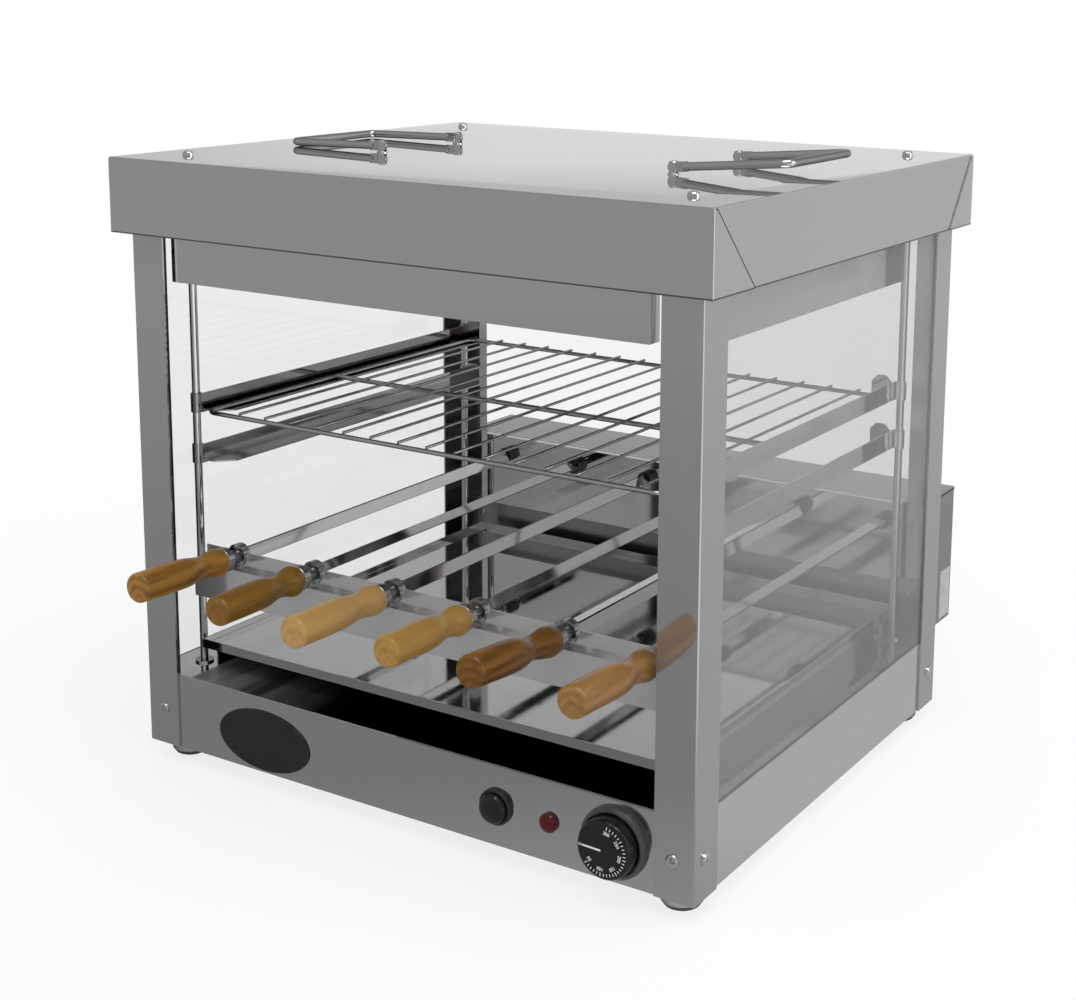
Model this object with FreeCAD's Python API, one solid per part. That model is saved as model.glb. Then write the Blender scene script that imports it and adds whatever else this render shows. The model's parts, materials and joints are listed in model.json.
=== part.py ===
import FreeCAD, Part
import math
import os

# Electric skewer grill, in millimetres. +Z is up, the front (handles and controls) faces -Y.
# The origin is on the table, under the middle of the whole appliance.
# A sheet-steel lid and heater hood stand on four angle posts over a flat base. Three sides are
# glass. Six skewers lie across the open front and plug into geared spindles in the rear drive box.

V = FreeCAD.Vector

# ---- driving dimensions -------------------------------------------------------------------------
lid_width = 500.0
lid_depth = 418.0
height = 460.0
skirt = 55.0
sheet = 1.2
tab_sheet = 1.0          # folded corner tabs that wrap onto the lid's sides
post_x = 239.0           # outer faces of the posts
post_y = 199.0
post_leg = 30.0
post_sheet = 1.5
foot_height = 13.0
foot_radius = 14.5
foot_x, foot_y = 218.0, 177.0

base_top = 71.0
base_panel_x = post_x - post_sheet - 0.1
base_panel_y = post_y - post_sheet

rod_x, rod_y = 212.0, 167.0
rod_radius = 3.0
rod_flange = 7.0

hood_bottom = 370.0
hood_side_bottom = 364.0
hood_top = 418.0
hood_front_half = 202.0
hood_side_half = 157.0
hood_x, hood_y = 215.0, 192.0
heater_z = 398.0

glass = 3.0

skewer_count = 6
skewer_pitch = 74.0
skewer_mid_x = 9.0       # the row of skewers sits a little to the right of the middle
skewer_z = 161.5
grip_lengths = [82.5, 80.5, 86.5, 81.0, 92.0, 90.0]
grip_bulbs = [10.5, 11.2, 10.9, 10.8, 10.5, 10.6]
grip_waists = [8.4, 8.2, 9.0, 8.1, 7.8, 8.1]
grip_belly = 11.0
collar_y = -184.0        # where each handle meets its ferrule
blade_leg = 11.0
blade_sheet = 1.2
blade_drop = 2.6         # the blade's edges hang this far below the axis that it turns on
blade_angles = [20.0, -25.0, 5.0, -15.0, 35.0, -40.0]
tang = 6.0
journal_radius = 8.5
neck_radius = 5.4
notch_radius = 8.58
ferrule_radius = 9.5

bar_plate_y = -rod_y - rod_radius - 1.5
bar_z = 124.5
bar_ledge_z = 151.5
bar_top = 164.5
bar_strip_y = -163.8

tray_x = 206.0
tray_front, tray_rear = -175.0, 184.0
tray_bottom, tray_floor, tray_rim = 85.5, 88.0, 92.5

rail_inner = 190.0
rail_web = 206.8
rail_height = 14.5
upper_rail_z = 267.5
lower_rail_z = 228.5

shelf_x = 197.0
shelf_front, shelf_cross_y, shelf_rear = -172.0, -26.0, 157.0
shelf_wire = 2.5
bar_wire = 1.5
shelf_bars = 15
shelf_first_x = -164.0
shelf_pitch = 24.6

drive_front = 187.0
drive_x = 207.0
drive_sheet = 1.5
drive_bottom, drive_top = 112.0, 176.5
housing_x = 226.0
housing_rear = 263.0
housing_bottom = 63.5

gear_module = 1.75
spindle_teeth = 12
idler_teeth = 36
gear_front, gear_back = 205.0, 213.0
pressure_angle = math.radians(20)
backlash = 0.4
socket_radius = 6.5
running_gap = 0.05
bearing_y = 216.5
bearing_x = 210.0
bearing_bottom = 90.0

control_z = 41.2
screw_z = 41.0
switch_x, lamp_x, knob_x = 85.0, 128.0, 179.0
badge_x, badge_z = -123.5, 38.0
badge_half_width, badge_half_height = 43.5, 23.0

bail_mid_x, bail_mid_y = 11.5, -17.0
bail_half_gap = 126.5    # from the middle of the pair to each hinge line
stud_half_span = 47.0
bail_reach = 88.0
bail_radius = 3.0
bail_rise = 5.0          # height of the hinge line above the lid
bail_tilts = {-1: -1.0, 1: 5.0}    # the left bail lies on the lid, the right one stands a little raised
stud_radius = 3.4
tongue = 3.0             # thickness of the bails' flattened ends

gland_x, gland_z = -150.0, 90.0
gland_end = 278.0


# ---- helpers ------------------------------------------------------------------------------------
def box(x, y, z):
    """A block from three (low, high) pairs, given in either order."""
    (x0, x1), (y0, y1), (z0, z1) = sorted(x), sorted(y), sorted(z)
    return Part.makeBox(x1 - x0, y1 - y0, z1 - z0, V(x0, y0, z0))


def cylinder(radius, start, end):
    """A round bar between two points."""
    axis = V(*end) - V(*start)
    return Part.makeCylinder(radius, axis.Length, V(*start), axis)


def prism(points, start, end):
    """A polygon of (x, z) points in the plane y = start, pulled along Y to y = end."""
    ring = [V(x, start, z) for x, z in points]
    face = Part.Face(Part.makePolygon(ring + ring[:1]))
    return face.extrude(V(0, end - start, 0))


def turned(profile, centre, direction):
    """A solid of revolution from (distance along axis, radius) points joined by straight lines."""
    points = [V(radius, 0, along) for along, radius in profile]
    face = Part.Face(Part.makePolygon(points + points[:1]))
    solid = face.revolve(V(0, 0, 0), V(0, 0, 1), 360)
    turn = FreeCAD.Rotation(V(0, 0, 1), V(*direction))
    solid.Placement = FreeCAD.Placement(V(*centre), turn)
    return solid


def joined(shapes):
    return shapes[0].multiFuse(shapes[1:]).removeSplitter()


def mirrored_x(shape):
    return shape.mirror(V(0, 0, 0), V(1, 0, 0))


def mirrored_y(shape):
    return shape.mirror(V(0, 0, 0), V(0, 1, 0))


def four_corners(shape):
    """The shape from the front right corner, repeated at all four corners."""
    right = [shape, mirrored_y(shape)]
    return right + [mirrored_x(one) for one in right]


def save(name, *solids):
    shape = solids[0] if len(solids) == 1 else Part.makeCompound(list(solids))
    shape.exportStep("parts/" + name + ".step")


def bent_rod(points, radius, bend):
    """A round rod along straight runs whose corners are rounded by arcs of the bend radius."""
    points = [V(*point) for point in points]
    edges, start = [], points[0]
    for before, corner, after in zip(points, points[1:], points[2:]):
        into = (corner - before).normalize()
        out = (after - corner).normalize()
        arc_start, arc_end = corner - into * bend, corner + out * bend
        middle = (arc_start + arc_end) * 0.5
        centre = arc_start + out * bend
        on_arc = centre + (middle - centre).normalize() * bend
        edges += [Part.makeLine(start, arc_start), Part.Arc(arc_start, on_arc, arc_end).toShape()]
        start = arc_end
    edges.append(Part.makeLine(start, points[-1]))
    circle = Part.Wire(Part.makeCircle(radius, points[0], points[1] - points[0]))
    return Part.Wire(edges).makePipeShell([circle], True, True)


# ---- lid and hood -------------------------------------------------------------------------------
def lid():
    side = lid_width / 2 - tab_sheet
    front = lid_depth / 2
    under = height - sheet
    shell = box((-side, side), (-front, front), (height - skirt, height))
    top_edges = [edge for edge in shell.Edges if edge.BoundBox.ZMin > height - 0.1]
    shell = shell.makeFillet(1.0, top_edges)
    hollow = box((-side + sheet, side - sheet), (-front + sheet, front - sheet),
                 (height - skirt - 1, under))
    shell = shell.cut(hollow)
    for x in (-rod_x, rod_x):
        for y in (-rod_y, rod_y):
            shell = shell.cut(cylinder(3.2, (x, y, under - 1), (x, y, height + 1)))
    return joined([shell] + lid_tabs(side, front))


def lid_tabs(side, front):
    """The triangular ends of the front and rear skirts, folded round onto the side skirts."""
    tabs = []
    for end, reach in ((-front, 53.0), (front, -44.0)):
        low, high = height - skirt, height - 1.5
        corners = [(end, low), (end + reach, low), (end + math.copysign(3, reach), high), (end, high)]
        ring = [V(side, y, z) for y, z in corners]
        tab = Part.Face(Part.makePolygon(ring + ring[:1])).extrude(V(tab_sheet, 0, 0))
        tabs += [tab, mirrored_x(tab)]
    return tabs


def hood():
    """Heater hood: a plate on the rods with an apron folded down from each side."""
    plate = box((-233, 233), (-196, 193), (hood_top - sheet, hood_top))
    under = hood_top - sheet
    front = box((-hood_front_half, hood_front_half), (-hood_y, -hood_y + sheet), (hood_bottom, under))
    ends = [box((x, x + sheet), (-hood_y + sheet, -hood_y + 12), (hood_bottom, under))
            for x in (-hood_front_half, hood_front_half - sheet)]
    front = joined([front] + ends)
    side = box((hood_x - sheet, hood_x), (-hood_side_half, hood_side_half), (hood_side_bottom, under))
    shape = joined([plate, front, mirrored_y(front), side, mirrored_x(side)])
    for x in (-rod_x, rod_x):
        for y in (-rod_y, rod_y):
            shape = shape.cut(cylinder(rod_radius + 0.3, (x, y, hood_top - 5), (x, y, hood_top + 5)))
    return shape


def heaters():
    """Tubular heating elements across the hood, each with a ceramic block at both ends."""
    tubes = []
    reach = hood_x - sheet
    for y in (-120, -40, 40, 120):
        profile = [(-reach, 0), (-reach, 8), (-198, 8), (-198, 5), (198, 5), (198, 8), (reach, 8), (reach, 0)]
        tubes.append(turned(profile, (0, y, heater_z), (1, 0, 0)))
    return tubes


# ---- frame --------------------------------------------------------------------------------------
def post():
    """Front right post: a folded angle with a tab at the top that carries the lid."""
    outer_x, outer_y = post_x, -post_y
    inner_x, inner_y = post_x - post_leg, -post_y + post_leg
    top = height - sheet
    front_leg = box((inner_x, outer_x), (outer_y, outer_y + post_sheet), (foot_height, top))
    side_leg = box((outer_x - post_sheet, outer_x), (outer_y, inner_y), (foot_height, top))
    tab = box((rod_x - 8, outer_x), (outer_y, -rod_y + 8), (top - post_sheet, top))
    tab = tab.cut(cylinder(3.2, (rod_x, -rod_y, top - 5), (rod_x, -rod_y, top + 5)))
    shape = joined([front_leg, side_leg, tab])
    corner = [edge for edge in shape.Edges
              if edge.Length > 300 and abs(edge.CenterOfMass.x - outer_x) < 0.01
              and abs(edge.CenterOfMass.y - outer_y) < 0.01]
    shape = shape.makeFillet(1.4, corner)
    for hole in post_screw_axes():
        shape = shape.cut(cylinder(2.1, *hole))
    return shape


def post_screw_axes():
    """Start and end points of the two screw holes through the front right post."""
    front = ((223, -post_y - 1, screw_z), (223, -post_y + 4, screw_z))
    side = ((post_x + 1, -186, screw_z), (post_x - 4, -186, screw_z))
    return front, side


def rods():
    """Tie rods from the deck to the lid. Each has a foot flange, a collar under the hood and a head."""
    under_tab = height - sheet - post_sheet
    top = under_tab - base_top
    hood_at = hood_top - sheet - base_top
    profile = [(0, 0), (0, rod_flange), (1.5, rod_flange), (1.5, rod_radius),
               (hood_at - 1.5, rod_radius), (hood_at - 1.5, rod_flange), (hood_at, rod_flange),
               (hood_at, rod_radius), (top - 1.5, rod_radius), (top - 1.5, rod_flange),
               (top, rod_flange), (top, 2.0), (top - 10, 2.0), (top - 10, 0)]
    return four_corners(turned(profile, (rod_x, -rod_y, base_top), (0, 0, 1)))


def rod_eye(x, y, z, length):
    return cylinder(rod_radius + 1.2, (x, y, z), (x, y, z + length))


def clear_of_rods(shape):
    for x in (-rod_x, rod_x):
        for y in (-rod_y, rod_y):
            shape = shape.cut(cylinder(rod_radius + 0.1, (x, y, base_top), (x, y, hood_bottom)))
    return shape


def rail(z):
    """Right-hand shelf rail: an angle held by the rods. Its flange turns up at the back as a stop."""
    web = box((rail_web, rail_web + sheet), (-rod_y, rod_y), (z, z + rail_height))
    stop_y = rod_y - 7
    flange = box((rail_inner, rail_web), (6 - rod_y, stop_y), (z, z + sheet))
    corner = [edge for edge in flange.Edges if edge.BoundBox.XMax < rail_inner + 1
              and edge.BoundBox.YMax < 7 - rod_y]
    flange = flange.makeChamfer(12.0, corner)
    stop = box((rail_inner, rail_web), (stop_y, stop_y + sheet), (z, z + rail_height + 5))
    shoulders = [edge for edge in stop.Edges if edge.BoundBox.ZMin > z + rail_height + 4
                 and edge.BoundBox.YLength > 1]
    stop = stop.makeChamfer(5.0, shoulders)
    eyes = [rod_eye(rod_x, y, z, rail_height) for y in (-rod_y, rod_y)]
    return clear_of_rods(joined([web, flange, stop] + eyes))


def glass_side():
    outer = post_x - post_sheet
    return box((outer - glass, outer), (-196.2, 193.6), (base_top, hood_top - sheet - 0.1))


def glass_rear():
    return box((-233.9, 233.9), (193.9, 193.9 + glass), (drive_top + 0.1, hood_top - sheet - 0.1))


# ---- base ---------------------------------------------------------------------------------------
def base_front():
    y = -base_panel_y
    panel = box((-base_panel_x, base_panel_x), (y, y + sheet), (foot_height, base_top - sheet))
    for x, radius in ((switch_x, 10.3), (lamp_x, 5.3), (knob_x, 12.3)):
        panel = panel.cut(cylinder(radius, (x, y - 1, control_z), (x, y + 3, control_z)))
    return drilled(panel)


def base_tub():
    """Floor and both side walls of the base, folded from one sheet."""
    depth = base_panel_y - sheet - 0.1
    floor = box((-base_panel_x, base_panel_x), (-depth, depth), (foot_height, foot_height + sheet))
    side = box((base_panel_x - sheet, base_panel_x), (-depth, depth), (foot_height, base_top - sheet))
    return drilled(joined([floor, side, mirrored_x(side)]))


def drilled(panel):
    """The panel with the base screws' holes through it."""
    for start, end in post_screw_axes():
        for sign_x in (-1, 1):
            for sign_y in (-1, 1):
                flip = [(sign_x * p[0], sign_y * p[1], p[2]) for p in (start, end)]
                panel = panel.cut(cylinder(2.1, *flip))
    return panel


def base_deck():
    depth = (-base_panel_y, base_panel_y - sheet - 0.1)
    return box((-base_panel_x, base_panel_x), depth, (base_top - sheet, base_top))


def base_rear():
    """Rear wall. It rises behind the tray as far as the drive box."""
    wall_y = (base_panel_y - sheet, base_panel_y)
    low = box((-base_panel_x + sheet + 0.1, base_panel_x - sheet - 0.1), wall_y, (foot_height, base_top))
    high = box((-233, 233), wall_y, (base_top, drive_bottom - 0.1))
    return drilled(joined([low, high]))


def foot():
    profile = [(0, 0), (0, 9.0), (1.6, 12.2), (5.0, foot_radius), (foot_height, foot_radius),
               (foot_height, 0)]
    return turned(profile, (foot_x, -foot_y, 0), (0, 0, 1))


# ---- skewers ------------------------------------------------------------------------------------
def skewer_x(index):
    return skewer_mid_x + skewer_pitch * (index - (skewer_count - 1) / 2)


def blade(index):
    """Angle-section blade with a bearing journal and ferrule at the front and a square tang behind."""
    x = skewer_x(index)
    half = blade_leg / math.sqrt(2)
    inner = blade_sheet * math.sqrt(2)
    low, peak = -blade_drop, half - blade_drop
    section = [(-half, low), (0, peak), (half, low),
               (half - inner, low), (0, peak - inner), (inner - half, low)]
    blade_end = 178.0
    bar = prism([(x + u, skewer_z + w) for u, w in section], -162, blade_end)
    tang_side = (-tang / 2, tang / 2)
    square = box([x + t for t in tang_side], (blade_end - 6, 198), [skewer_z + t for t in tang_side])
    profile = [(0, 0), (0, ferrule_radius - 0.7), (1.0, ferrule_radius), (7, ferrule_radius - 0.4),
               (7, neck_radius), (16.5, neck_radius), (17, journal_radius), (23.5, journal_radius), (23.5, 0)]
    collar = turned(profile, (x, collar_y, skewer_z), (0, 1, 0))
    shape = joined([bar, square, collar])
    shape.rotate(V(x, 0, skewer_z), V(0, 1, 0), blade_angles[index])
    return shape


def grip(index):
    """Turned wooden handle: a bulb at the ferrule, a waist, then a straight body with an eased end."""
    length, bulb, waist = grip_lengths[index], grip_bulbs[index], grip_waists[index]
    corner = 3.2
    end = grip_belly - 0.1 - corner
    shoulder = V(end + corner, 0, length - corner)
    outline = Part.BSplineCurve()
    outline.interpolate([V(ferrule_radius + 0.4, 0, 0), V(bulb, 0, 0.06 * length),
                         V((bulb + waist) / 2, 0, 0.15 * length), V(waist, 0, 0.25 * length),
                         V((grip_belly + waist) / 2 + 0.1, 0, 0.37 * length),
                         V(grip_belly - 0.15, 0, 0.50 * length), V(grip_belly, 0, 0.70 * length), shoulder])
    half_corner = corner / math.sqrt(2)
    middle = V(end + half_corner, 0, length - corner + half_corner)
    start, tip = V(ferrule_radius + 0.4, 0, 0), V(0, 0, length)
    nose = Part.Arc(shoulder, middle, V(end, 0, length)).toShape()
    edges = [outline.toShape(), nose, Part.makeLine(V(end, 0, length), tip),
             Part.makeLine(tip, V(0, 0, 0)), Part.makeLine(V(0, 0, 0), start)]
    solid = Part.Face(Part.Wire(edges)).revolve(V(0, 0, 0), V(0, 0, 1), 360)
    forward = FreeCAD.Rotation(V(0, 0, 1), V(0, -1, 0))
    solid.Placement = FreeCAD.Placement(V(skewer_x(index), collar_y, skewer_z), forward)
    return solid


def crossbar():
    """Front bearing bar: apron, ledge and a notched strip in which the skewers' journals turn."""
    plate_half, strip_half = rod_x + rod_radius, rod_x - rod_radius - 1
    plate = box((-plate_half, plate_half), (bar_plate_y, bar_plate_y + sheet), (bar_z, bar_ledge_z))
    ledge = box((-strip_half, strip_half), (bar_plate_y, bar_strip_y), (bar_ledge_z - sheet, bar_ledge_z))
    strip = box((-strip_half, strip_half), (bar_strip_y - sheet, bar_strip_y), (bar_ledge_z, bar_top))
    for index in range(skewer_count):
        x = skewer_x(index)
        notch = cylinder(notch_radius, (x, bar_strip_y - 3, skewer_z), (x, bar_strip_y + 1, skewer_z))
        strip = strip.cut(notch)
    shape = joined([plate, ledge, strip] + [rod_eye(x, -rod_y, bar_z + 4, 18) for x in (-rod_x, rod_x)])
    return clear_of_rods(shape)


# ---- tray and shelf -----------------------------------------------------------------------------
def drip_tray():
    """A shallow pan whose edge is folded up and then down, so that its floor hangs within the rim."""
    width = (-tray_x + sheet, tray_x - sheet)
    depth = (tray_front + sheet, tray_rear - sheet)
    pan = box((-tray_x, tray_x), (tray_front, tray_rear), (tray_bottom, tray_rim))
    inside = box(width, depth, (tray_floor, tray_rim + 1))
    below = box(width, depth, (tray_bottom - 1, tray_floor - sheet))
    return pan.cut(inside).cut(below)


def tray_runners():
    """Angles on the deck that the tray slides on."""
    web = box((rail_web, rail_web + sheet), (-158, 158), (base_top, tray_bottom))
    flange = box((196, rail_web), (-158, 158), (tray_bottom - sheet, tray_bottom))
    right = joined([web, flange])
    return right, mirrored_x(right)


def shelf_level():
    """Height of the shelf frame's centre line, when it lies on the upper rails."""
    return upper_rail_z + sheet + shelf_wire


def shelf_frame():
    """Bent outer wire of the shelf, and the cross wire at its middle."""
    z = shelf_level()
    loop = [(0, shelf_front, z), (shelf_x, shelf_front, z), (shelf_x, shelf_rear, z),
            (-shelf_x, shelf_rear, z), (-shelf_x, shelf_front, z), (0, shelf_front, z)]
    reach = shelf_x - shelf_wire
    cross = cylinder(shelf_wire, (-reach, shelf_cross_y, z), (reach, shelf_cross_y, z))
    return bent_rod(loop, shelf_wire, 9.0), cross


def shelf_wires():
    """Thin wires welded on top of the frame. Their front ends are bent down in front of it."""
    top = shelf_level() + shelf_wire + bar_wire
    hook_y = shelf_front - shelf_wire - bar_wire - 0.2
    wires = []
    for number in range(shelf_bars):
        x = shelf_first_x + shelf_pitch * number
        path = [(x, hook_y, top - 5.5), (x, hook_y, top), (x, shelf_rear + shelf_wire, top)]
        wires.append(bent_rod(path, bar_wire, 2.2))
    return wires


# ---- drive --------------------------------------------------------------------------------------
def involute(angle):
    return math.tan(angle) - angle


def tooth_half_angle(teeth, radius):
    """Half the angle that one tooth covers at this radius, on an involute flank."""
    pitch = gear_module * teeth / 2
    base = pitch * math.cos(pressure_angle)
    at = math.acos(min(1.0, base / radius))
    return math.pi / (2 * teeth) - backlash / (2 * pitch) + involute(pressure_angle) - involute(at)


def gear_outline(teeth, phase, flank_radii):
    """Points of a gear whose first tooth is centred on the phase angle, measured from +X to +Z."""
    points = []
    for tooth in range(teeth):
        centre = phase + 2 * math.pi * tooth / teeth
        rising = [(radius, centre - tooth_half_angle(teeth, radius)) for radius in flank_radii]
        falling = [(radius, centre + tooth_half_angle(teeth, radius)) for radius in reversed(flank_radii)]
        points += rising + falling
    return [(radius * math.cos(angle), radius * math.sin(angle)) for radius, angle in points]


def gear(teeth, place, flank_offsets):
    """A spur gear at (x, z, phase). The offsets from the pitch circle set its root, flank and tip."""
    x, z, phase = place
    pitch = gear_module * teeth / 2
    outline = gear_outline(teeth, phase, [pitch + offset for offset in flank_offsets])
    return prism([(x + u, z + w) for u, w in outline], gear_front, gear_back)


def small_gear(place):
    return gear(spindle_teeth, place, [-2.0, 0.0, 1.5])


def meshing_phase(phase, teeth, bearing, next_teeth):
    """Phase of the next gear, in mesh with this one along the bearing from centre to centre."""
    return bearing + math.pi - (math.pi - teeth * (bearing - phase)) / next_teeth


def gear_train():
    """Centres and phases. Idlers hang below and between the spindles; the pinion is under the third."""
    distance = gear_module * (spindle_teeth + idler_teeth) / 2
    half = skewer_pitch / 2
    drop = math.sqrt(distance ** 2 - half ** 2)
    down = math.atan2(-drop, half)
    spindles = [(skewer_x(0), skewer_z, math.pi / 2)]
    idlers = []
    for index in range(1, skewer_count):
        x, z, phase = spindles[-1]
        idler_phase = meshing_phase(phase, spindle_teeth, down, idler_teeth)
        idlers.append((x + half, z - drop, idler_phase))
        next_phase = meshing_phase(idler_phase, idler_teeth, -down, spindle_teeth)
        spindles.append((skewer_x(index), skewer_z, next_phase))
    x, z, phase = idlers[2]
    pinion_phase = meshing_phase(phase, idler_teeth, -math.pi / 2, spindle_teeth)
    return spindles, idlers, (x, z - distance, pinion_phase)


def spindle(index, place):
    """Socket tube, gear and rear journal in one. The socket is square inside, for the tang."""
    x, z, phase = place
    socket_front = 180.0
    profile = [(0, 0), (0, socket_radius), (8.8, socket_radius), (8.8, 8.0), (25, 8.0), (25, 5.0),
               (36.2, 5.0), (36.2, 3.0), (41, 3.0), (41, 0)]
    body = turned(profile, (x, socket_front, z), (0, 1, 0))
    hole_half = tang / 2 + 0.2
    hole = box((x - hole_half, x + hole_half), (socket_front - 1, 200), (z - hole_half, z + hole_half))
    hole.rotate(V(x, 0, z), V(0, 1, 0), blade_angles[index])
    return joined([body, small_gear(place)]).cut(hole)


def idler(place):
    x, z, phase = place
    wheel = gear(idler_teeth, place, [-1.9, 1.4])
    return wheel.cut(cylinder(4.0, (x, gear_front - 1, z), (x, gear_back + 1, z)))


def pinion(place):
    x, z, phase = place
    shaft = cylinder(3.0, (x, gear_front - 3, z), (x, bearing_y + 9, z))
    return joined([small_gear(place), shaft])


def drive_box(spindles):
    """Front box of the drive: it stands forward of the rear wall and carries the spindles."""
    front = box((-drive_x, drive_x), (drive_front, drive_front + drive_sheet), (drive_bottom, drive_top))
    for x, z, phase in spindles:
        hole = cylinder(socket_radius + running_gap, (x, drive_front - 1, z), (x, drive_front + 3, z))
        front = front.cut(hole)
    depth = (drive_front + drive_sheet, post_y)
    top = box((-drive_x, drive_x), depth, (drive_top - sheet, drive_top))
    bottom = box((-drive_x, drive_x), depth, (drive_bottom, drive_bottom + sheet))
    side = box((drive_x - sheet, drive_x), depth, (drive_bottom + sheet, drive_top - sheet))
    return joined([front, top, bottom, side, mirrored_x(side)])


def bearing_plate(spindles, idlers, drive_pinion):
    """Plate behind the gears, with the idlers' pins and the spacers that hold it off the drive box."""
    top = drive_top - sheet - 0.3
    plate = box((-bearing_x, bearing_x), (bearing_y, bearing_y + 2), (bearing_bottom, top))
    for x, z, phase in spindles + [drive_pinion]:
        hole = cylinder(3.0 + running_gap, (x, bearing_y - 1, z), (x, bearing_y + 3, z))
        plate = plate.cut(hole)
    pins = []
    for x, z, phase in idlers:
        bearing = 4.0 - running_gap
        profile = [(0, 0), (0, 5.5), (2.0, 5.5), (2.0, bearing),
                   (11.0, bearing), (11.0, 5.5), (14.0, 5.5), (14.0, 0)]
        pins.append(turned(profile, (x, bearing_y - 14, z), (0, 1, 0)))
    spacers = []
    for x in (-196.0, skewer_x(1), skewer_x(2), skewer_x(3), skewer_x(4), 200.0):
        spacers.append(cylinder(3.0, (x, drive_front + drive_sheet, 119), (x, bearing_y, 119)))
    return joined([plate] + pins + spacers)


def gear_motor(place):
    """Gear motor whose bore takes the pinion's shaft."""
    bore = 3.0 + running_gap
    profile = [(0, bore), (0, 25), (16, 25), (16, 20), (38, 20), (38, 0), (9, 0), (9, bore)]
    return turned(profile, (place[0], bearing_y + 2.2, place[1]), (0, 1, 0))


def drive_housing():
    """Rear cover over the gears and motor. It hangs behind the posts."""
    front = post_y + 0.1
    shell = box((-housing_x, housing_x), (front, housing_rear), (housing_bottom, drive_top))
    rear_edges = [edge for edge in shell.Edges if edge.BoundBox.YMin > housing_rear - 0.1]
    shell = shell.makeFillet(2.0, rear_edges)
    hollow = box((-housing_x + sheet, housing_x - sheet), (front - 1, housing_rear - sheet),
                 (housing_bottom + sheet, drive_top - sheet))
    hole = cylinder(6.0, (gland_x, housing_rear - 3, gland_z), (gland_x, housing_rear + 1, gland_z))
    return shell.cut(hollow).cut(hole)


def cable_gland():
    """Bush through the cover's rear wall: a nut inside, a flange and a tapered nose outside."""
    nose = gland_end - housing_rear
    wall = -sheet - 0.1
    profile = [(-8, 4.5), (-8, 8.5), (wall, 8.5), (wall, 5.9), (0, 5.9), (0, 9.5), (4, 9.5), (5, 8.0),
               (nose, 6.5), (nose, 4.5)]
    return turned(profile, (gland_x, housing_rear, gland_z), (0, 1, 0))


# ---- controls -----------------------------------------------------------------------------------
def panel_turned(profile, x):
    """A round control on the front panel. Distances run outwards from the panel's face."""
    return turned(profile, (x, -base_panel_y, control_z), (0, -1, 0))


def thermostat():
    """Bezel outside, switch body inside the base, and the bore that the knob's shaft turns in."""
    bore = 3.0 + running_gap
    bezel = panel_turned([(0, bore), (0, 25.0), (3.0, 24.6), (5.0, 22.8), (5.0, 21.6), (1.8, 21.2),
                          (1.8, bore)], knob_x)
    neck = panel_turned([(-2, bore), (-2, 12.0), (0, 12.0), (0, bore)], knob_x)
    y = -base_panel_y + 2
    body = box((knob_x - 17, knob_x + 17), (y, y + 26), (control_z - 17, control_z + 17))
    body = body.cut(cylinder(bore, (knob_x, y - 1, control_z), (knob_x, y + 14, control_z)))
    return joined([bezel, neck, body])


def knob():
    """Plain round dial with a chamfered face, and the shaft that it turns on."""
    profile = [(-12, 0), (-12, 3.0), (2.1, 3.0), (2.1, 20.4), (12.4, 20.4), (13.8, 19.9),
               (15.0, 18.6), (15.0, 0)]
    return panel_turned(profile, knob_x)


def switch_housing():
    profile = [(-24, 0), (-24, 10.0), (0, 10.0), (0, 12.8), (2.2, 12.8), (3.0, 12.0), (3.0, 10.8),
               (0.3, 10.8), (0.3, 9.0), (-16, 9.0), (-16, 0)]
    return panel_turned(profile, switch_x)


def switch_button():
    profile = [(-12, 0), (-12, 8.9), (3.4, 8.9), (3.4, 10.5), (5.4, 10.5), (7.2, 9.2), (8.4, 6.2), (8.9, 0)]
    return panel_turned(profile, switch_x)


def pilot_lamp():
    profile = [(-20, 0), (-20, 5.0), (0, 5.0), (0, 6.8), (2.0, 6.8), (3.6, 5.6), (4.6, 3.2), (4.9, 0)]
    return panel_turned(profile, lamp_x)


def badge_plate():
    face_y = -base_panel_y
    ellipse = Part.Ellipse(V(badge_x, face_y, badge_z), badge_half_width, badge_half_height)
    ellipse.Axis = V(0, -1, 0)
    ellipse.XAxis = V(1, 0, 0)
    return Part.Face(Part.Wire(ellipse.toShape())).extrude(V(0, -1.0, 0))


# ---- lid handles --------------------------------------------------------------------------------
def bail(side):
    """Lid handle, folded outwards to its side (-1 left, 1 right). Its flattened ends turn in the studs."""
    hinge_x = bail_mid_x + side * bail_half_gap
    grip_x = hinge_x + side * bail_reach
    arm_x = hinge_x + side * 8
    z = height + bail_rise
    near, far = bail_mid_y - stud_half_span, bail_mid_y + stud_half_span
    path = [(arm_x, near, z), (grip_x, near, z), (grip_x, far, z), (arm_x, far, z)]
    pieces = [bent_rod(path, bail_radius, 6.0)]
    for y in (near, far):
        sides = (y - tongue / 2, y + tongue / 2)
        pieces.append(cylinder(4.0, (hinge_x, sides[0], z), (hinge_x, sides[1], z)))
        pieces.append(box(sorted((hinge_x, hinge_x + side * 11)), sides, (z - 3.6, z + 3.6)))
    shape = joined(pieces)
    for y in (near, far):
        shape = shape.cut(cylinder(1.3, (hinge_x, y - 5, z), (hinge_x, y + 5, z)))
    shape.rotate(V(hinge_x, 0, z), V(0, 1, 0), -side * bail_tilts[side])
    return shape


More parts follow.
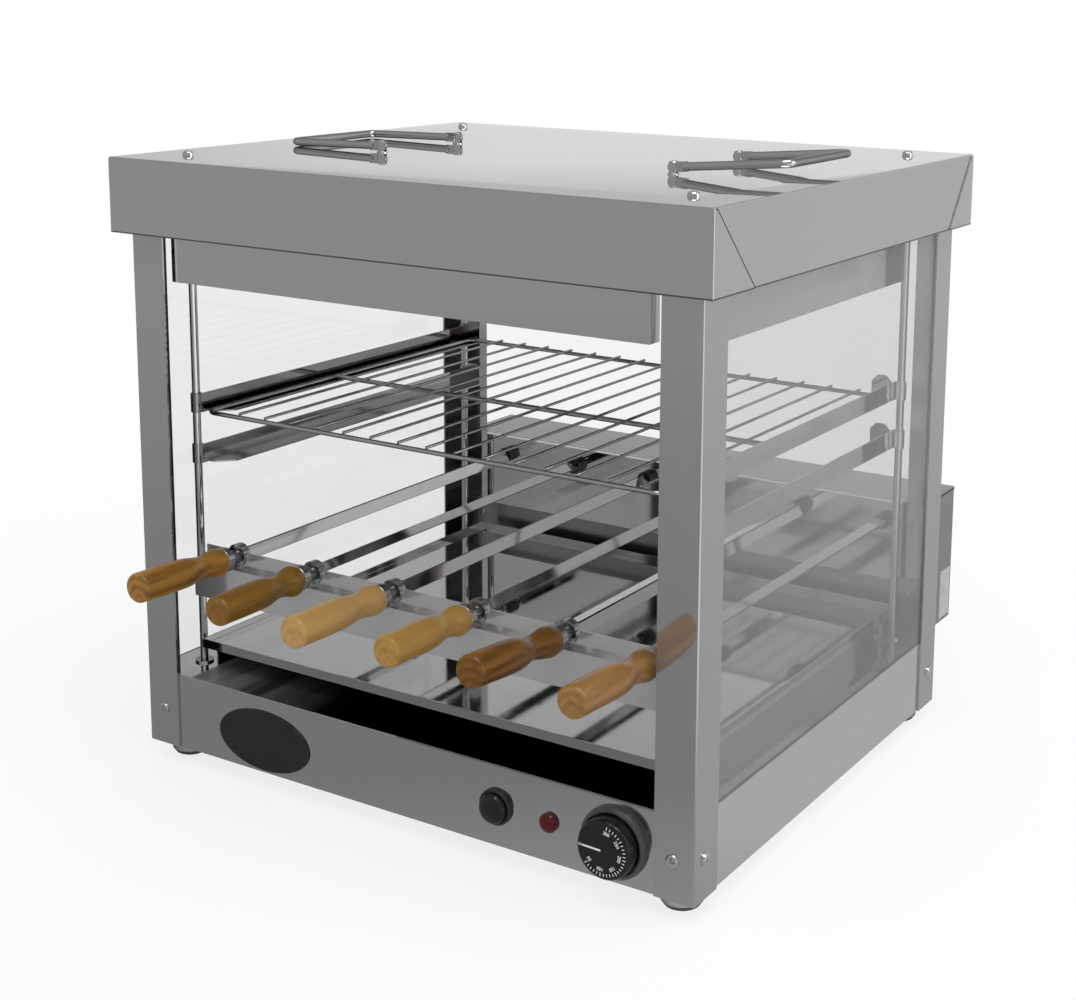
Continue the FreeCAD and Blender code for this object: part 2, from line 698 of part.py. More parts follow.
def bail_studs():
    """Upright studs on the lid. Each has a slot for a bail's end, and a pin across the slot."""
    studs = []
    z = height + bail_rise
    top = stud_radius - 0.8
    profile = [(0, 0), (0, 4.2), (0.8, 4.2), (0.8, stud_radius), (8.4, stud_radius), (9.2, top), (9.2, 0)]
    for x in (bail_mid_x - bail_half_gap, bail_mid_x + bail_half_gap):
        for y in (bail_mid_y - stud_half_span, bail_mid_y + stud_half_span):
            sides = (y - tongue / 2 - 0.1, y + tongue / 2 + 0.1)
            slot = box((x - 5, x + 5), sides, (height + 0.8, height + 10))
            pin = cylinder(1.2, (x, y - 3, z), (x, y + 3, z))
            studs.append(joined([turned(profile, (x, y, height), (0, 0, 1)).cut(slot), pin]))
    return studs


# ---- fasteners ----------------------------------------------------------------------------------
def screws():
    """Domed screws through the lid into the rods, and pan-head screws from the posts into the base."""
    dome = [(-10, 0), (-10, 1.9), (0, 1.9), (0, 4.3), (1.4, 4.0), (2.9, 2.2), (3.4, 0)]
    pan = [(-7, 0), (-7, 2.0), (0, 2.0), (0, 4.6), (0.8, 4.6), (2.2, 3.4), (2.2, 0)]
    pieces = four_corners(turned(dome, (rod_x, -rod_y, height), (0, 0, 1)))
    front, side = post_screw_axes()
    pieces += four_corners(turned(pan, (front[0][0], -post_y, screw_z), (0, -1, 0)))
    pieces += four_corners(turned(pan, (post_x, side[0][1], screw_z), (1, 0, 0)))
    return pieces


# ---- assembly -----------------------------------------------------------------------------------
def save_frame():
    save("lid", lid())
    save("heater_hood", hood())
    save("heating_elements", *heaters())
    corner = post()
    save("post_front_right", corner)
    save("post_front_left", mirrored_x(corner))
    save("post_rear_right", mirrored_y(corner))
    save("post_rear_left", mirrored_x(mirrored_y(corner)))
    save("tie_rods", *rods())
    right_rails = [rail(z) for z in (upper_rail_z, lower_rail_z)]
    save("shelf_rails", *right_rails, *[mirrored_x(one) for one in right_rails])
    save("glass_sides", glass_side(), mirrored_x(glass_side()))
    save("glass_rear", glass_rear())
    save("base_front", base_front())
    save("base_tub", base_tub())
    save("base_deck", base_deck())
    save("base_rear", base_rear())
    save("feet", *four_corners(foot()))
    save("screws", *screws())


def save_cooking_gear():
    for index in range(skewer_count):
        number = str(index + 1)
        save("skewer_blade_" + number, blade(index))
        save("skewer_grip_" + number, grip(index))
    save("crossbar", crossbar())
    save("drip_tray", drip_tray())
    save("tray_runners", *tray_runners())
    save("shelf_frame", *shelf_frame())
    save("shelf_wires", *shelf_wires())


def save_drive():
    spindles, idlers, drive_pinion = gear_train()
    for index, place in enumerate(spindles):
        save("spindle_" + str(index + 1), spindle(index, place))
    for index, place in enumerate(idlers):
        save("idler_gear_" + str(index + 1), idler(place))
    save("motor_pinion", pinion(drive_pinion))
    save("gear_motor", gear_motor(drive_pinion))
    save("drive_box", drive_box(spindles))
    save("bearing_plate", bearing_plate(spindles, idlers, drive_pinion))
    save("drive_housing", drive_housing())
    save("cable_gland", cable_gland())


def save_controls_and_handles():
    save("thermostat", thermostat())
    save("thermostat_knob", knob())
    save("switch_housing", switch_housing())
    save("switch_button", switch_button())
    save("pilot_lamp", pilot_lamp())
    save("badge_plate", badge_plate())
    save("bail_left", bail(-1))
    save("bail_right", bail(1))
    save("bail_studs", *bail_studs())


os.makedirs("parts", exist_ok=True)
save_frame()
save_cooking_gear()
save_drive()
save_controls_and_handles()
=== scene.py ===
import json
from math import cos, pi, radians, sin

import bmesh
import bpy
from mathutils import Matrix, Vector

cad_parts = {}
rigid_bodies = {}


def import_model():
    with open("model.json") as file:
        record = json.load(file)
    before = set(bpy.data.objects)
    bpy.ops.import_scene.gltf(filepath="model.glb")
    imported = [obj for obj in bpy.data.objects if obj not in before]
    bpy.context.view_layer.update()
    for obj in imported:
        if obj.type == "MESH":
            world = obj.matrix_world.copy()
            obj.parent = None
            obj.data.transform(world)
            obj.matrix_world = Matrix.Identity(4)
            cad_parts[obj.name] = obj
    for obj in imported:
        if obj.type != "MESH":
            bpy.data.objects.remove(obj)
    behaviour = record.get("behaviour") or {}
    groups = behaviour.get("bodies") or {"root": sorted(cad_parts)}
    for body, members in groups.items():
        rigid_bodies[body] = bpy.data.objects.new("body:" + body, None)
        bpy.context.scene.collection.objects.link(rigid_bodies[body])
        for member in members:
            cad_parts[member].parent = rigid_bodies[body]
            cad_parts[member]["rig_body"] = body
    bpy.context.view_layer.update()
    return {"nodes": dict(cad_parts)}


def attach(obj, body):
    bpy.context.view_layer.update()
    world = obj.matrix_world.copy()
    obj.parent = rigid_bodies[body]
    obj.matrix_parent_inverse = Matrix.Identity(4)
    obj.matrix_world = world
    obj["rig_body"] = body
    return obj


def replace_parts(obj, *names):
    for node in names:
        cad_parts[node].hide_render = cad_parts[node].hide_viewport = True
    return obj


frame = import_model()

# An electric skewer grill: a satin steel cabinet with glass sides and mirror-polished steel inside.
# Lengths are in millimetres and are turned into metres by the helpers that make the meshes.
MM = 0.001

# ---- places and sizes that the dressing needs -----------------------------------------------------
LID_TOP = 460.0
LID_HALF_WIDTH, LID_HALF_DEPTH = 250.0, 209.0
HEM_Z = 406.1
# y and z of both ends of the slanted fold on each end of the lid, from its foot to its top
TAB_FOLD = ((-155.4, 405.4), (-205.4, 458.7))
# the hood's front apron lies between these two depths and inside this half width
APRON_Y, APRON_HALF_WIDTH, APRON_SHIFT = (-192.5, -179.0), 205.0, 5.0

POST_X, POST_Y = 239.0, 199.0
POST_SHEET = 0.9
ROD_X, ROD_Y = 212.0, 167.0
FOOT_RIM_Z = 4.6
# radius, height and crown of the screws' heads
DOME_HEAD, PAN_HEAD, SMALL_HEAD = (4.2, 3.4, 1.9), (4.6, 2.2, 2.9), (3.0, 1.6, 1.8)
SCREW_Z = 41.0
FRONT_SCREW_X, SIDE_SCREW_Y = 223.0, 186.0

HOUSING_X = 226.0
COVER_SEAM_Y, COVER_SEAM_Z, COVER_SEAM_LENGTH = 231.5, 174.6, 62.0
INNER_SCREW_X, INNER_SCREW_Y, INNER_SCREW_HEIGHTS = 213.0, 197.4, (97.5, 156.0)
RATING_PLATE_SIZE, RATING_PLATE_Y, RATING_PLATE_Z = (0.1, 21.0, 41.0), 249.0, 87.0
SOCKET_END_Y = 188.5

PANEL_FACE_Y = -197.5
CONTROL_Z = 41.2
KNOB_X, KNOB_FACE_Y = 179.0, PANEL_FACE_Y - 15.0
# clockwise from the top, in degrees: the first tick, the step to the next, and the pointer
TICK_START, TICK_STEP, POINTER = 10.0, 8.8, -88.0
TEMPERATURES = ("300", "250", "200", "150", "100", "50")

# between the lower rails and the upper ones
RAILS_PART_Z = 250.0
SHELF_REST_Z = 268.7
SHELF_CROSS_Y, SHELF_CROSS_END_X = -26.0, 190.0
SHELF_WIRE_FRONT, SHELF_WIRE_REAR = -172.4, 160.0
SHELF_WIRE_X = [-164.0 + 24.6 * number for number in range(15)]
# the solids' radius of the outer wire, the drawn one's, and the thin wires'
STOUT_WIRE_RADIUS, SHELF_FRAME_RADIUS, SHELF_WIRE_RADIUS = 2.5, 1.7, 1.1
# the deck's stretch with a painted reflection, from the left wall inwards
PAINTED_REFLECTION_X = (-196.0, -75.0)

SKEWER_X = [-176.0, -102.0, -28.0, 46.0, 120.0, 194.0]
SKEWER_Z = 161.5
FERRULE_Y = -184.0
FERRULE_RADIUS = 9.5
FERRULE_END_Y, NECK_END_Y, JOURNAL_END_Y = -176.5, -167.2, -160.0
# a blade's long edges are longer than the run, and its edge faces narrower than the edge
BLADE_RUN, BLADE_EDGE, BLADE_EASE = 300.0, 2.0, 0.9
GRIP_END_ROUND = 3.2
# length, bulb, waist, where the waist is, body radius and upward tilt in degrees of each handle
GRIP_SHAPES = [
    (82.5, 10.5, 8.4, 0.25, 11.0, 2.1),
    (80.5, 11.2, 8.2, 0.25, 10.9, 0.0),
    (86.5, 10.9, 9.0, 0.24, 11.2, 1.2),
    (81.0, 10.8, 8.1, 0.25, 10.9, 1.6),
    (91.6, 10.5, 7.8, 0.29, 11.1, 5.4),
    (90.0, 10.6, 8.1, 0.24, 10.9, 3.3),
]


def finished(name, bm, materials, body, smooth_below=40.0):
    """Makes an object of the bmesh, in place, that rides on a CAD body. Gentle edges are smooth."""
    for face in bm.faces:
        face.smooth = True
    for edge in bm.edges:
        edge.smooth = edge.calc_face_angle(0.0) < radians(smooth_below)
    mesh = bpy.data.meshes.new(name)
    bm.to_mesh(mesh)
    bm.free()
    for material in materials:
        mesh.materials.append(material)
    thing = bpy.data.objects.new(name, mesh)
    bpy.context.scene.collection.objects.link(thing)
    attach(thing, body)
    return thing


def piece(name, bm, material, body="root", smooth_below=40.0):
    """A newly modelled piece, with its faces turned outwards."""
    bmesh.ops.recalc_face_normals(bm, faces=bm.faces)
    return finished(name, bm, [material], body, smooth_below)


def eased(thing, width):
    """Rounds off a piece's sharp edges by this many millimetres, as folding and handling do."""
    bevel = thing.modifiers.new("eased edges", "BEVEL")
    bevel.width = width * MM
    bevel.segments = 2
    bevel.limit_method = "ANGLE"
    bevel.angle_limit = radians(42)
    bevel.harden_normals = True


def copied(node):
    """A CAD node's shape as a bmesh, with its loose triangles joined and its flat faces whole."""
    bm = bmesh.new()
    bm.from_mesh(frame["nodes"][node].data)
    bmesh.ops.remove_doubles(bm, verts=bm.verts, dist=0.004 * MM)
    bmesh.ops.dissolve_limit(bm, angle_limit=radians(0.3), verts=bm.verts, edges=bm.edges)
    return bm


def standing_for(node, bm, materials, edge):
    """The bmesh as the piece that stands for a CAD node. Three materials go to X, Y and Z faces."""
    if len(materials) == 3:
        bm.normal_update()
        for face in bm.faces:
            across = [abs(part) for part in face.normal]
            face.material_index = across.index(max(across))
    thing = finished(node + "_finish", bm, materials, frame["nodes"][node]["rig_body"], 35.0)
    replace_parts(thing, node)
    if edge:
        eased(thing, edge)
    return thing


def dressed(node, materials, edge=0.0):
    """A smooth-shaded copy of a CAD node that stands for it, with its sharp edges eased."""
    return standing_for(node, copied(node), materials, edge)


def cut_at(bm, point, normal):
    """Cuts the faces along a plane through a point in millimetres, and keeps both sides."""
    bmesh.ops.bisect_plane(bm, geom=bm.verts[:] + bm.edges[:] + bm.faces[:], plane_no=normal,
                           plane_co=[part * MM for part in point], dist=0.001 * MM)


def retoned(thing, materials, choose):
    """Adds materials to a piece, and sets each face to the slot that choose gives for it."""
    for material in materials:
        thing.data.materials.append(material)
    for face in thing.data.polygons:
        face.material_index = choose(face)


def folded(node, materials, edge, corners, bend=1.3):
    """As dressed, with the outer corners of the sheet rounded as a press brake leaves them."""
    bm = copied(node)
    edges = [one for one in bm.edges if corners(*[end.co / MM for end in one.verts])]
    bmesh.ops.bevel(bm, geom=edges, offset=bend * MM, segments=4, affect="EDGES", profile=0.5,
                    material=-1, clamp_overlap=True)
    return standing_for(node, bm, materials, edge)


def smoothed(knots, between):
    """Points on a smooth curve through the knots, with this many steps from each knot to the next."""
    ends = [knots[0]] + knots + [knots[-1]]
    points = []
    for before, start, end, after in zip(ends, ends[1:], ends[2:], ends[3:]):
        for step in range(between):
            t = step / between
            spans = [(-t + 2 * t ** 2 - t ** 3) / 2, (2 - 5 * t ** 2 + 3 * t ** 3) / 2,
                     (t + 4 * t ** 2 - 3 * t ** 3) / 2, (t ** 3 - t ** 2) / 2]
            four = (before, start, end, after)
            points.append(tuple(sum(w * knot[i] for w, knot in zip(spans, four)) for i in (0, 1)))
    return points + [knots[-1]]


def place(bm, centre, direction, up="Y"):
    """Turns a bmesh made along +Z to the direction, and moves it to the centre in millimetres."""
    turn = Vector(direction).to_track_quat("Z", up).to_matrix().to_4x4()
    move = Matrix.Translation(Vector(centre) * MM)
    bmesh.ops.transform(bm, matrix=move @ turn, verts=bm.verts)
    return bm


def turned(profile, centre, direction, segments=48):
    """A round bmesh from (distance along the axis, radius) points in millimetres."""
    bm = bmesh.new()
    points = [bm.verts.new((radius * MM, 0, along * MM)) for along, radius in profile]
    for start, end in zip(points, points[1:]):
        bm.edges.new((start, end))
    bmesh.ops.spin(bm, geom=bm.verts[:] + bm.edges[:], cent=(0, 0, 0), axis=(0, 0, 1),
                   angle=2 * pi, steps=segments, use_merge=True)
    bmesh.ops.remove_doubles(bm, verts=bm.verts, dist=0.002 * MM)
    return place(bm, centre, direction)


def slab(size, centre):
    """A small block of this size in millimetres, for thin plates and printed marks."""
    bm = bmesh.new()
    bmesh.ops.create_cube(bm, size=1.0)
    bmesh.ops.scale(bm, vec=[side * MM for side in size], verts=bm.verts)
    bmesh.ops.translate(bm, vec=[part * MM for part in centre], verts=bm.verts)
    return bm


def added(bm, other):
    """Puts a copy of the other bmesh into bm, and frees the other."""
    mesh = bpy.data.meshes.new("part")
    other.to_mesh(mesh)
    other.free()
    bm.from_mesh(mesh)
    bpy.data.meshes.remove(mesh)


def ring_of(bm, corners):
    """A closed ring of vertices through these points in millimetres."""
    points = [bm.verts.new([part * MM for part in corner]) for corner in corners]
    for start, end in zip(points, points[1:] + points[:1]):
        bm.edges.new((start, end))
    return points


def bridged(bm, lower, upper):
    """Joins two rings of vertices with a band of faces."""
    wanted = set(lower + upper)
    edges = [one for one in bm.edges if set(one.verts) <= wanted and not one.link_faces[1:]]
    bmesh.ops.bridge_loops(bm, edges=edges)


def around(radius, z, count=36):
    """Points of a circle about the Z axis."""
    turns = [2 * pi * step / count for step in range(count)]
    return [(radius * cos(turn), radius * sin(turn), z) for turn in turns]


def cross_at(z, arm, half):
    """The twelve corners of a cross at this height, with arms this long and half this wide."""
    quarter = [(arm, -half, z), (arm, half, z), (half, half, z)]
    corners = []
    for step in range(4):
        c, s = (1, 0, -1, 0)[step], (0, 1, 0, -1)[step]
        corners += [(x * c - y * s, x * s + y * c, level) for x, y, level in quarter]
    return corners


def screw_head(radius, height, crown):
    """A pan or dome head along +Z with a cross recess cut into its crown."""
    bm = bmesh.new()
    rings = [around(radius, 0), around(radius, height * 0.25)]
    rings += [around(crown + (radius - crown) * cos(turn), height * (0.25 + 0.75 * sin(turn)))
              for turn in (0.4, 0.8, 1.2, 1.5)]
    arm, half = crown * 0.86, radius * 0.12
    rings += [cross_at(height, arm, half), cross_at(height * 0.72, arm * 0.8, half * 0.8),
              cross_at(height * 0.3, arm * 0.3, half * 0.6)]
    loops = [ring_of(bm, ring) for ring in rings]
    for lower, upper in zip(loops, loops[1:]):
        bridged(bm, lower, upper)
    bm.faces.new(loops[0])
    bm.faces.new(loops[-1])
    return bm


# ---- shader helpers -------------------------------------------------------------------------------
def new_group(name, inputs, outputs):
    """An empty shader node group, with its input and output nodes."""
    group = bpy.data.node_groups.new(name, "ShaderNodeTree")
    for label, kind, value in inputs:
        socket = group.interface.new_socket(label, in_out="INPUT", socket_type=kind)
        if value is not None:
            socket.default_value = value
    for label, kind in outputs:
        group.interface.new_socket(label, in_out="OUTPUT", socket_type=kind)
    return group, group.nodes.new("NodeGroupInput"), group.nodes.new("NodeGroupOutput")


def noise(nodes, links, vector, scale, detail, rough=0.6):
    """Soft random patches, as a value from 0 to 1."""
    texture = nodes.new("ShaderNodeTexNoise")
    texture.inputs["Scale"].default_value = scale
    texture.inputs["Detail"].default_value = detail
    texture.inputs["Roughness"].default_value = rough
    links.new(vector, texture.inputs["Vector"])
    return texture.outputs["Fac"]


def mapped(nodes, links, value, low, high, to_low, to_high):
    """The value rescaled from one range to another, and held inside it."""
    node = nodes.new("ShaderNodeMapRange")
    for label, number in (("From Min", low), ("From Max", high), ("To Min", to_low), ("To Max", to_high)):
        node.inputs[label].default_value = number
    links.new(value, node.inputs["Value"])
    return node.outputs["Result"]


def stretched(nodes, links, vector, scale):
    """Coordinates scaled along each axis. A small factor draws a pattern out along its axis."""
    node = nodes.new("ShaderNodeMapping")
    node.inputs["Scale"].default_value = scale
    links.new(vector, node.inputs["Vector"])
    return node.outputs["Vector"]


def mixed(nodes, links, factor, first, second):
    """A colour between two, each a socket or a plain colour."""
    node = nodes.new("ShaderNodeMix")
    node.data_type = "RGBA"
    for label, value in (("Factor", factor), ("A", first), ("B", second)):
        socket = [one for one in node.inputs if one.name == label and one.enabled][0]
        if isinstance(value, bpy.types.NodeSocket):
            links.new(value, socket)
        else:
            socket.default_value = value
    return [one for one in node.outputs if one.enabled][0]


def mixed_shaders(nodes, links, factor, first, second):
    """A blend of two shaders' outputs."""
    node = nodes.new("ShaderNodeMixShader")
    for socket, value in zip(node.inputs, (factor, first, second)):
        links.new(value, socket)
    return node.outputs["Shader"]


def maths(nodes, links, operation, first, second):
    """One sum on two values, each a socket or a plain number."""
    node = nodes.new("ShaderNodeMath")
    node.operation = operation
    for socket, value in zip(node.inputs, (first, second)):
        if isinstance(value, bpy.types.NodeSocket):
            links.new(value, socket)
        else:
            socket.default_value = value
    return node.outputs["Value"]


def grain_group():
    """Brushing lines and hand smudges on rolled steel. Lines run along the axis that Stretch shrinks."""
    group, given, out = new_group("steel_grain", [
        ("Vector", "NodeSocketVector", None),
        ("Smudge Size", "NodeSocketFloat", 6.0),
    ], [("Lines", "NodeSocketFloat"), ("Smudges", "NodeSocketFloat"), ("Wipe Marks", "NodeSocketFloat")])
    nodes, links = group.nodes, group.links
    lines = noise(nodes, links, given.outputs["Vector"], 900.0, 4.0, 0.75)
    links.new(lines, out.inputs["Lines"])
    place_on = nodes.new("ShaderNodeTexCoord").outputs["Object"]
    smudge = nodes.new("ShaderNodeTexNoise")
    smudge.inputs["Detail"].default_value = 5.0
    links.new(place_on, smudge.inputs["Vector"])
    links.new(given.outputs["Smudge Size"], smudge.inputs["Scale"])
    links.new(smudge.outputs["Fac"], out.inputs["Smudges"])
    wipes = noise(nodes, links, stretched(nodes, links, place_on, (7.0, 40.0, 9.0)), 1.0, 3.0)
    links.new(wipes, out.inputs["Wipe Marks"])
    return group


GRAIN = grain_group()
ALONG_X = (0.02, 1.0, 1.0)
ALONG_Y = (1.0, 0.02, 1.0)
ALONG_Z = (1.0, 1.0, 0.02)


def blank(name):
    """A new material with a Principled shader, for one of the record's material slots."""
    material = bpy.data.materials.new(name)
    material.use_nodes = True
    nodes, links = material.node_tree.nodes, material.node_tree.links
    return material, nodes, links, nodes["Principled BSDF"]


def bumped(nodes, links, shader, height, depth):
    """Gives a shader fine relief, this many millimetres deep."""
    bump = nodes.new("ShaderNodeBump")
    bump.inputs["Distance"].default_value = depth * MM
    bump.inputs["Strength"].default_value = 1.0
    links.new(height, bump.inputs["Height"])
    links.new(bump.outputs["Normal"], shader.inputs["Normal"])


def steel(name, tone, sheen, lines, depth=0.002, smudge=0.02, tone_swing=0.03, rim=0.0, metal=1.0):
    """Stainless steel: tone is its colour, sheen its roughness, lines the way that it was rolled.

    A round bar or wire takes a rim tone, which its colour falls to where it turns away: painted shade for
    the dark reflections at its edges."""
    material, nodes, links, shader = blank(name)
    shader.inputs["Metallic"].default_value = metal
    place_on = nodes.new("ShaderNodeTexCoord").outputs["Object"]
    grain = nodes.new("ShaderNodeGroup")
    grain.node_tree = GRAIN
    links.new(stretched(nodes, links, place_on, lines), grain.inputs["Vector"])
    shade = [tone * (1 - tone_swing)] * 3 + [1]
    light = [min(1.0, tone * (1 + tone_swing))] * 3 + [1]
    half_lines = maths(nodes, links, "MULTIPLY", grain.outputs["Lines"], 0.5)
    half_smudges = maths(nodes, links, "MULTIPLY", grain.outputs["Smudges"], 0.5)
    patchy = maths(nodes, links, "ADD", half_lines, half_smudges)
    colour = mixed(nodes, links, patchy, shade, light)
    # painted shade: the colour falls to the rim tone where the surface turns away from the eye
    if rim:
        facing = nodes.new("ShaderNodeLayerWeight")
        facing.inputs["Blend"].default_value = 0.5
        rim_painted_shade = mapped(nodes, links, facing.outputs["Facing"], 0.30, 0.80, 0.0, 1.0)
        colour = mixed(nodes, links, rim_painted_shade, colour, (rim, rim, rim, 1))
    links.new(colour, shader.inputs["Base Color"])
    rough = mapped(nodes, links, grain.outputs["Smudges"], 0.3, 0.7, sheen - smudge, sheen + smudge)
    fine = mapped(nodes, links, grain.outputs["Wipe Marks"], 0.3, 0.7, -smudge / 2, smudge / 2)
    links.new(maths(nodes, links, "ADD", rough, fine), shader.inputs["Roughness"])
    bumped(nodes, links, shader, grain.outputs["Lines"], depth)
    return material


def sheet_steel(name, tone, sheen, level=True, swing=0.03, metal=1.0):
    """Rolled sheet, as three materials for faces across X, Y and Z, each with its own way of rolling."""
    ways = (ALONG_Y, ALONG_X, ALONG_X) if level else (ALONG_Z, ALONG_Z, ALONG_X)
    return [steel(name + "_" + side, tone, sheen, way, tone_swing=swing, metal=metal)
            for side, way in zip("xyz", ways)]


def wood_group():
    """Turned hardwood: long streaks, growth rings and pores, along the Y axis."""
    group, given, out = new_group("wood_grain", [
        ("Vector", "NodeSocketVector", None),
        ("Pale", "NodeSocketColor", (0.6, 0.35, 0.15, 1)),
        ("Dark", "NodeSocketColor", (0.3, 0.12, 0.04, 1)),
        ("Streaks", "NodeSocketFloat", 0.5),
    ], [("Colour", "NodeSocketColor"), ("Pores", "NodeSocketFloat")])
    nodes, links = group.nodes, group.links
    vector = given.outputs["Vector"]
    long_grain = stretched(nodes, links, vector, (1.0, 0.10, 1.0))
    rings = nodes.new("ShaderNodeTexWave")
    rings.wave_type = "RINGS"
    rings.rings_direction = "Y"
    rings.inputs["Scale"].default_value = 55.0
    rings.inputs["Distortion"].default_value = 3.0
    rings.inputs["Detail"].default_value = 3.0
    rings.inputs["Detail Scale"].default_value = 1.6
    links.new(long_grain, rings.inputs["Vector"])
    streaks = noise(nodes, links, stretched(nodes, links, vector, (1.0, 0.07, 1.0)), 260.0, 6.0, 0.7)
    clouds = noise(nodes, links, stretched(nodes, links, vector, (1.0, 0.35, 1.0)), 45.0, 3.0)
    ringed = maths(nodes, links, "MULTIPLY", rings.outputs["Fac"], 0.20)
    streaked = maths(nodes, links, "MULTIPLY", streaks, given.outputs["Streaks"])
    clouded = maths(nodes, links, "MULTIPLY", clouds, 0.55)
    figure = maths(nodes, links, "ADD", maths(nodes, links, "ADD", ringed, streaked), clouded)
    figure = mapped(nodes, links, figure, 0.20, 0.95, 0.0, 1.0)
    colour = mixed(nodes, links, figure, given.outputs["Pale"], given.outputs["Dark"])
    links.new(colour, out.inputs["Colour"])
    pores = noise(nodes, links, stretched(nodes, links, vector, (1.0, 0.04, 1.0)), 900.0, 2.0)
    links.new(pores, out.inputs["Pores"])
    return group


WOOD = wood_group()


def varnished_wood(name, pale, dark, streaks, centre):
    """Varnished wood for one handle. The grain's rings are centred near the handle's own axis."""
    material, nodes, links, shader = blank(name)
    place_on = nodes.new("ShaderNodeTexCoord").outputs["Object"]
    own = nodes.new("ShaderNodeMapping")
    own.inputs["Location"].default_value = [-part * MM for part in centre]
    links.new(place_on, own.inputs["Vector"])
    grain = nodes.new("ShaderNodeGroup")
    grain.node_tree = WOOD
    grain.inputs["Pale"].default_value = pale
    grain.inputs["Dark"].default_value = dark
    grain.inputs["Streaks"].default_value = streaks
    links.new(own.outputs["Vector"], grain.inputs["Vector"])
    links.new(grain.outputs["Colour"], shader.inputs["Base Color"])
    links.new(mapped(nodes, links, grain.outputs["Pores"], 0.3, 0.7, 0.34, 0.5), shader.inputs["Roughness"])
    shader.inputs["Specular IOR Level"].default_value = 0.2
    shader.inputs["Coat Weight"].default_value = 0.55
    shader.inputs["Coat Roughness"].default_value = 0.09
    bumped(nodes, links, shader, grain.outputs["Pores"], 0.05)
    return material


def plastic(name, colour, sheen, texture_depth=0.01):
    """Moulded plastic or lacquer with a faint mottled surface."""
    material, nodes, links, shader = blank(name)
    place_on = nodes.new("ShaderNodeTexCoord").outputs["Object"]
    mottle = noise(nodes, links, place_on, 420.0, 3.0)
    soil = noise(nodes, links, place_on, 38.0, 4.0)
    lighter = [min(1.0, part * 1.25 + 0.004) for part in colour[:3]] + [1]
    worn = mapped(nodes, links, soil, 0.35, 0.7, 0.0, 1.0)
    links.new(mixed(nodes, links, worn, colour, lighter), shader.inputs["Base Color"])
    links.new(mapped(nodes, links, soil, 0.3, 0.7, sheen - 0.05, sheen + 0.06), shader.inputs["Roughness"])
    bumped(nodes, links, shader, mottle, texture_depth)
    return material


def pane_glass(name, tint, clear_share):
    """Clear glass. Light that only falls through it isn't bent, so what stands behind it is lit."""
    material, nodes, links, shader = blank(name)
    shader.inputs["Transmission Weight"].default_value = clear_share
    shader.inputs["Roughness"].default_value = 0.0
    shader.inputs["IOR"].default_value = 1.45
    shader.inputs["Metallic"].default_value = 0.0
    place_on = nodes.new("ShaderNodeTexCoord").outputs["Object"]
    film = noise(nodes, links, place_on, 9.0, 5.0)
    hazed = [tint * 0.965] * 3 + [1]
    links.new(mixed(nodes, links, film, (tint, tint, tint, 1), hazed), shader.inputs["Base Color"])
    clear = nodes.new("ShaderNodeBsdfTransparent")
    clear.inputs["Color"].default_value = (0.92, 0.92, 0.92, 1)
    path = nodes.new("ShaderNodeLightPath")
    falls = maths(nodes, links, "MAXIMUM", path.outputs["Is Shadow Ray"], path.outputs["Is Diffuse Ray"])
    pane = mixed_shaders(nodes, links, falls, shader.outputs["BSDF"], clear.outputs["BSDF"])
    links.new(pane, nodes["Material Output"].inputs["Surface"])
    return material


def painted_reflection_steel():
    """The deck's steel beside the left wall: dull, with a painted reflection streaked along Y that is
    darker to the middle.
    """
    material, nodes, links, shader = blank("painted_reflection_deck_steel")
    shader.inputs["Metallic"].default_value = 0.0
    shader.inputs["Roughness"].default_value = 0.3
    place_on = nodes.new("ShaderNodeTexCoord").outputs["Object"]
    apart = nodes.new("ShaderNodeSeparateXYZ")
    links.new(place_on, apart.inputs["Vector"])
    start, end = [x * MM for x in PAINTED_REFLECTION_X]
    # painted reflection: streaks that fade out from the left wall towards the middle
    fade = mapped(nodes, links, apart.outputs["X"], start, end, 1.0, 0.0)
    streaks = noise(nodes, links, stretched(nodes, links, place_on, (1.0, 0.10, 0.10)), 55.0, 3.0)
    streaks = mapped(nodes, links, streaks, 0.42, 0.58, 0.25, 1.0)
    amount = maths(nodes, links, "MULTIPLY", fade, streaks)
    links.new(mixed(nodes, links, amount, (0, 0, 0, 1), (0.22, 0.22, 0.22, 1)), shader.inputs["Base Color"])
    return material


cabinet_level = sheet_steel("cabinet_steel_level", 0.70, 0.09)
# painted light: the cabinet's faces across X take a lighter tone of the same steel, for the brighter
# reflections on its sides
cabinet_level[0] = steel("cabinet_steel_sides_painted_light", 0.86, 0.09, ALONG_Y)
cabinet_upright = sheet_steel("cabinet_steel_upright", 0.58, 0.06, False, 0.03, 0.88)
lid_sheet = sheet_steel("lid_steel", 0.70, 0.07, swing=0.06)
housing_sheet = sheet_steel("housing_steel", 0.42, 0.12, swing=0.04)
lid_sheet[2] = steel("lid_steel_top", 0.72, 0.03, ALONG_X, 0.001, 0.01)
# painted shade: a dark steel for the band along the lid's hem, for the shadow line under its edge
hem_steel_painted_shade = steel("shaded_hem_steel", 0.20, 0.12, ALONG_X, 0.001, 0.01)
crossbar_sheet = sheet_steel("crossbar_steel", 0.72, 0.12, metal=0.75)
rail_sheet = sheet_steel("rail_steel", 0.78, 0.07)
# painted reflection: darker, streaky copies of the rails' steel for the left rails, the upper one darker
rail_painted_shade = sheet_steel("rail_painted_shade_steel", 0.36, 0.06, swing=0.25)
rail_painted_reflection = sheet_steel("rail_painted_reflection_steel", 0.52, 0.07, swing=0.35)
chrome_foot = steel("chromed_foot", 0.80, 0.10, ALONG_Z, 0.002, rim=0.10)
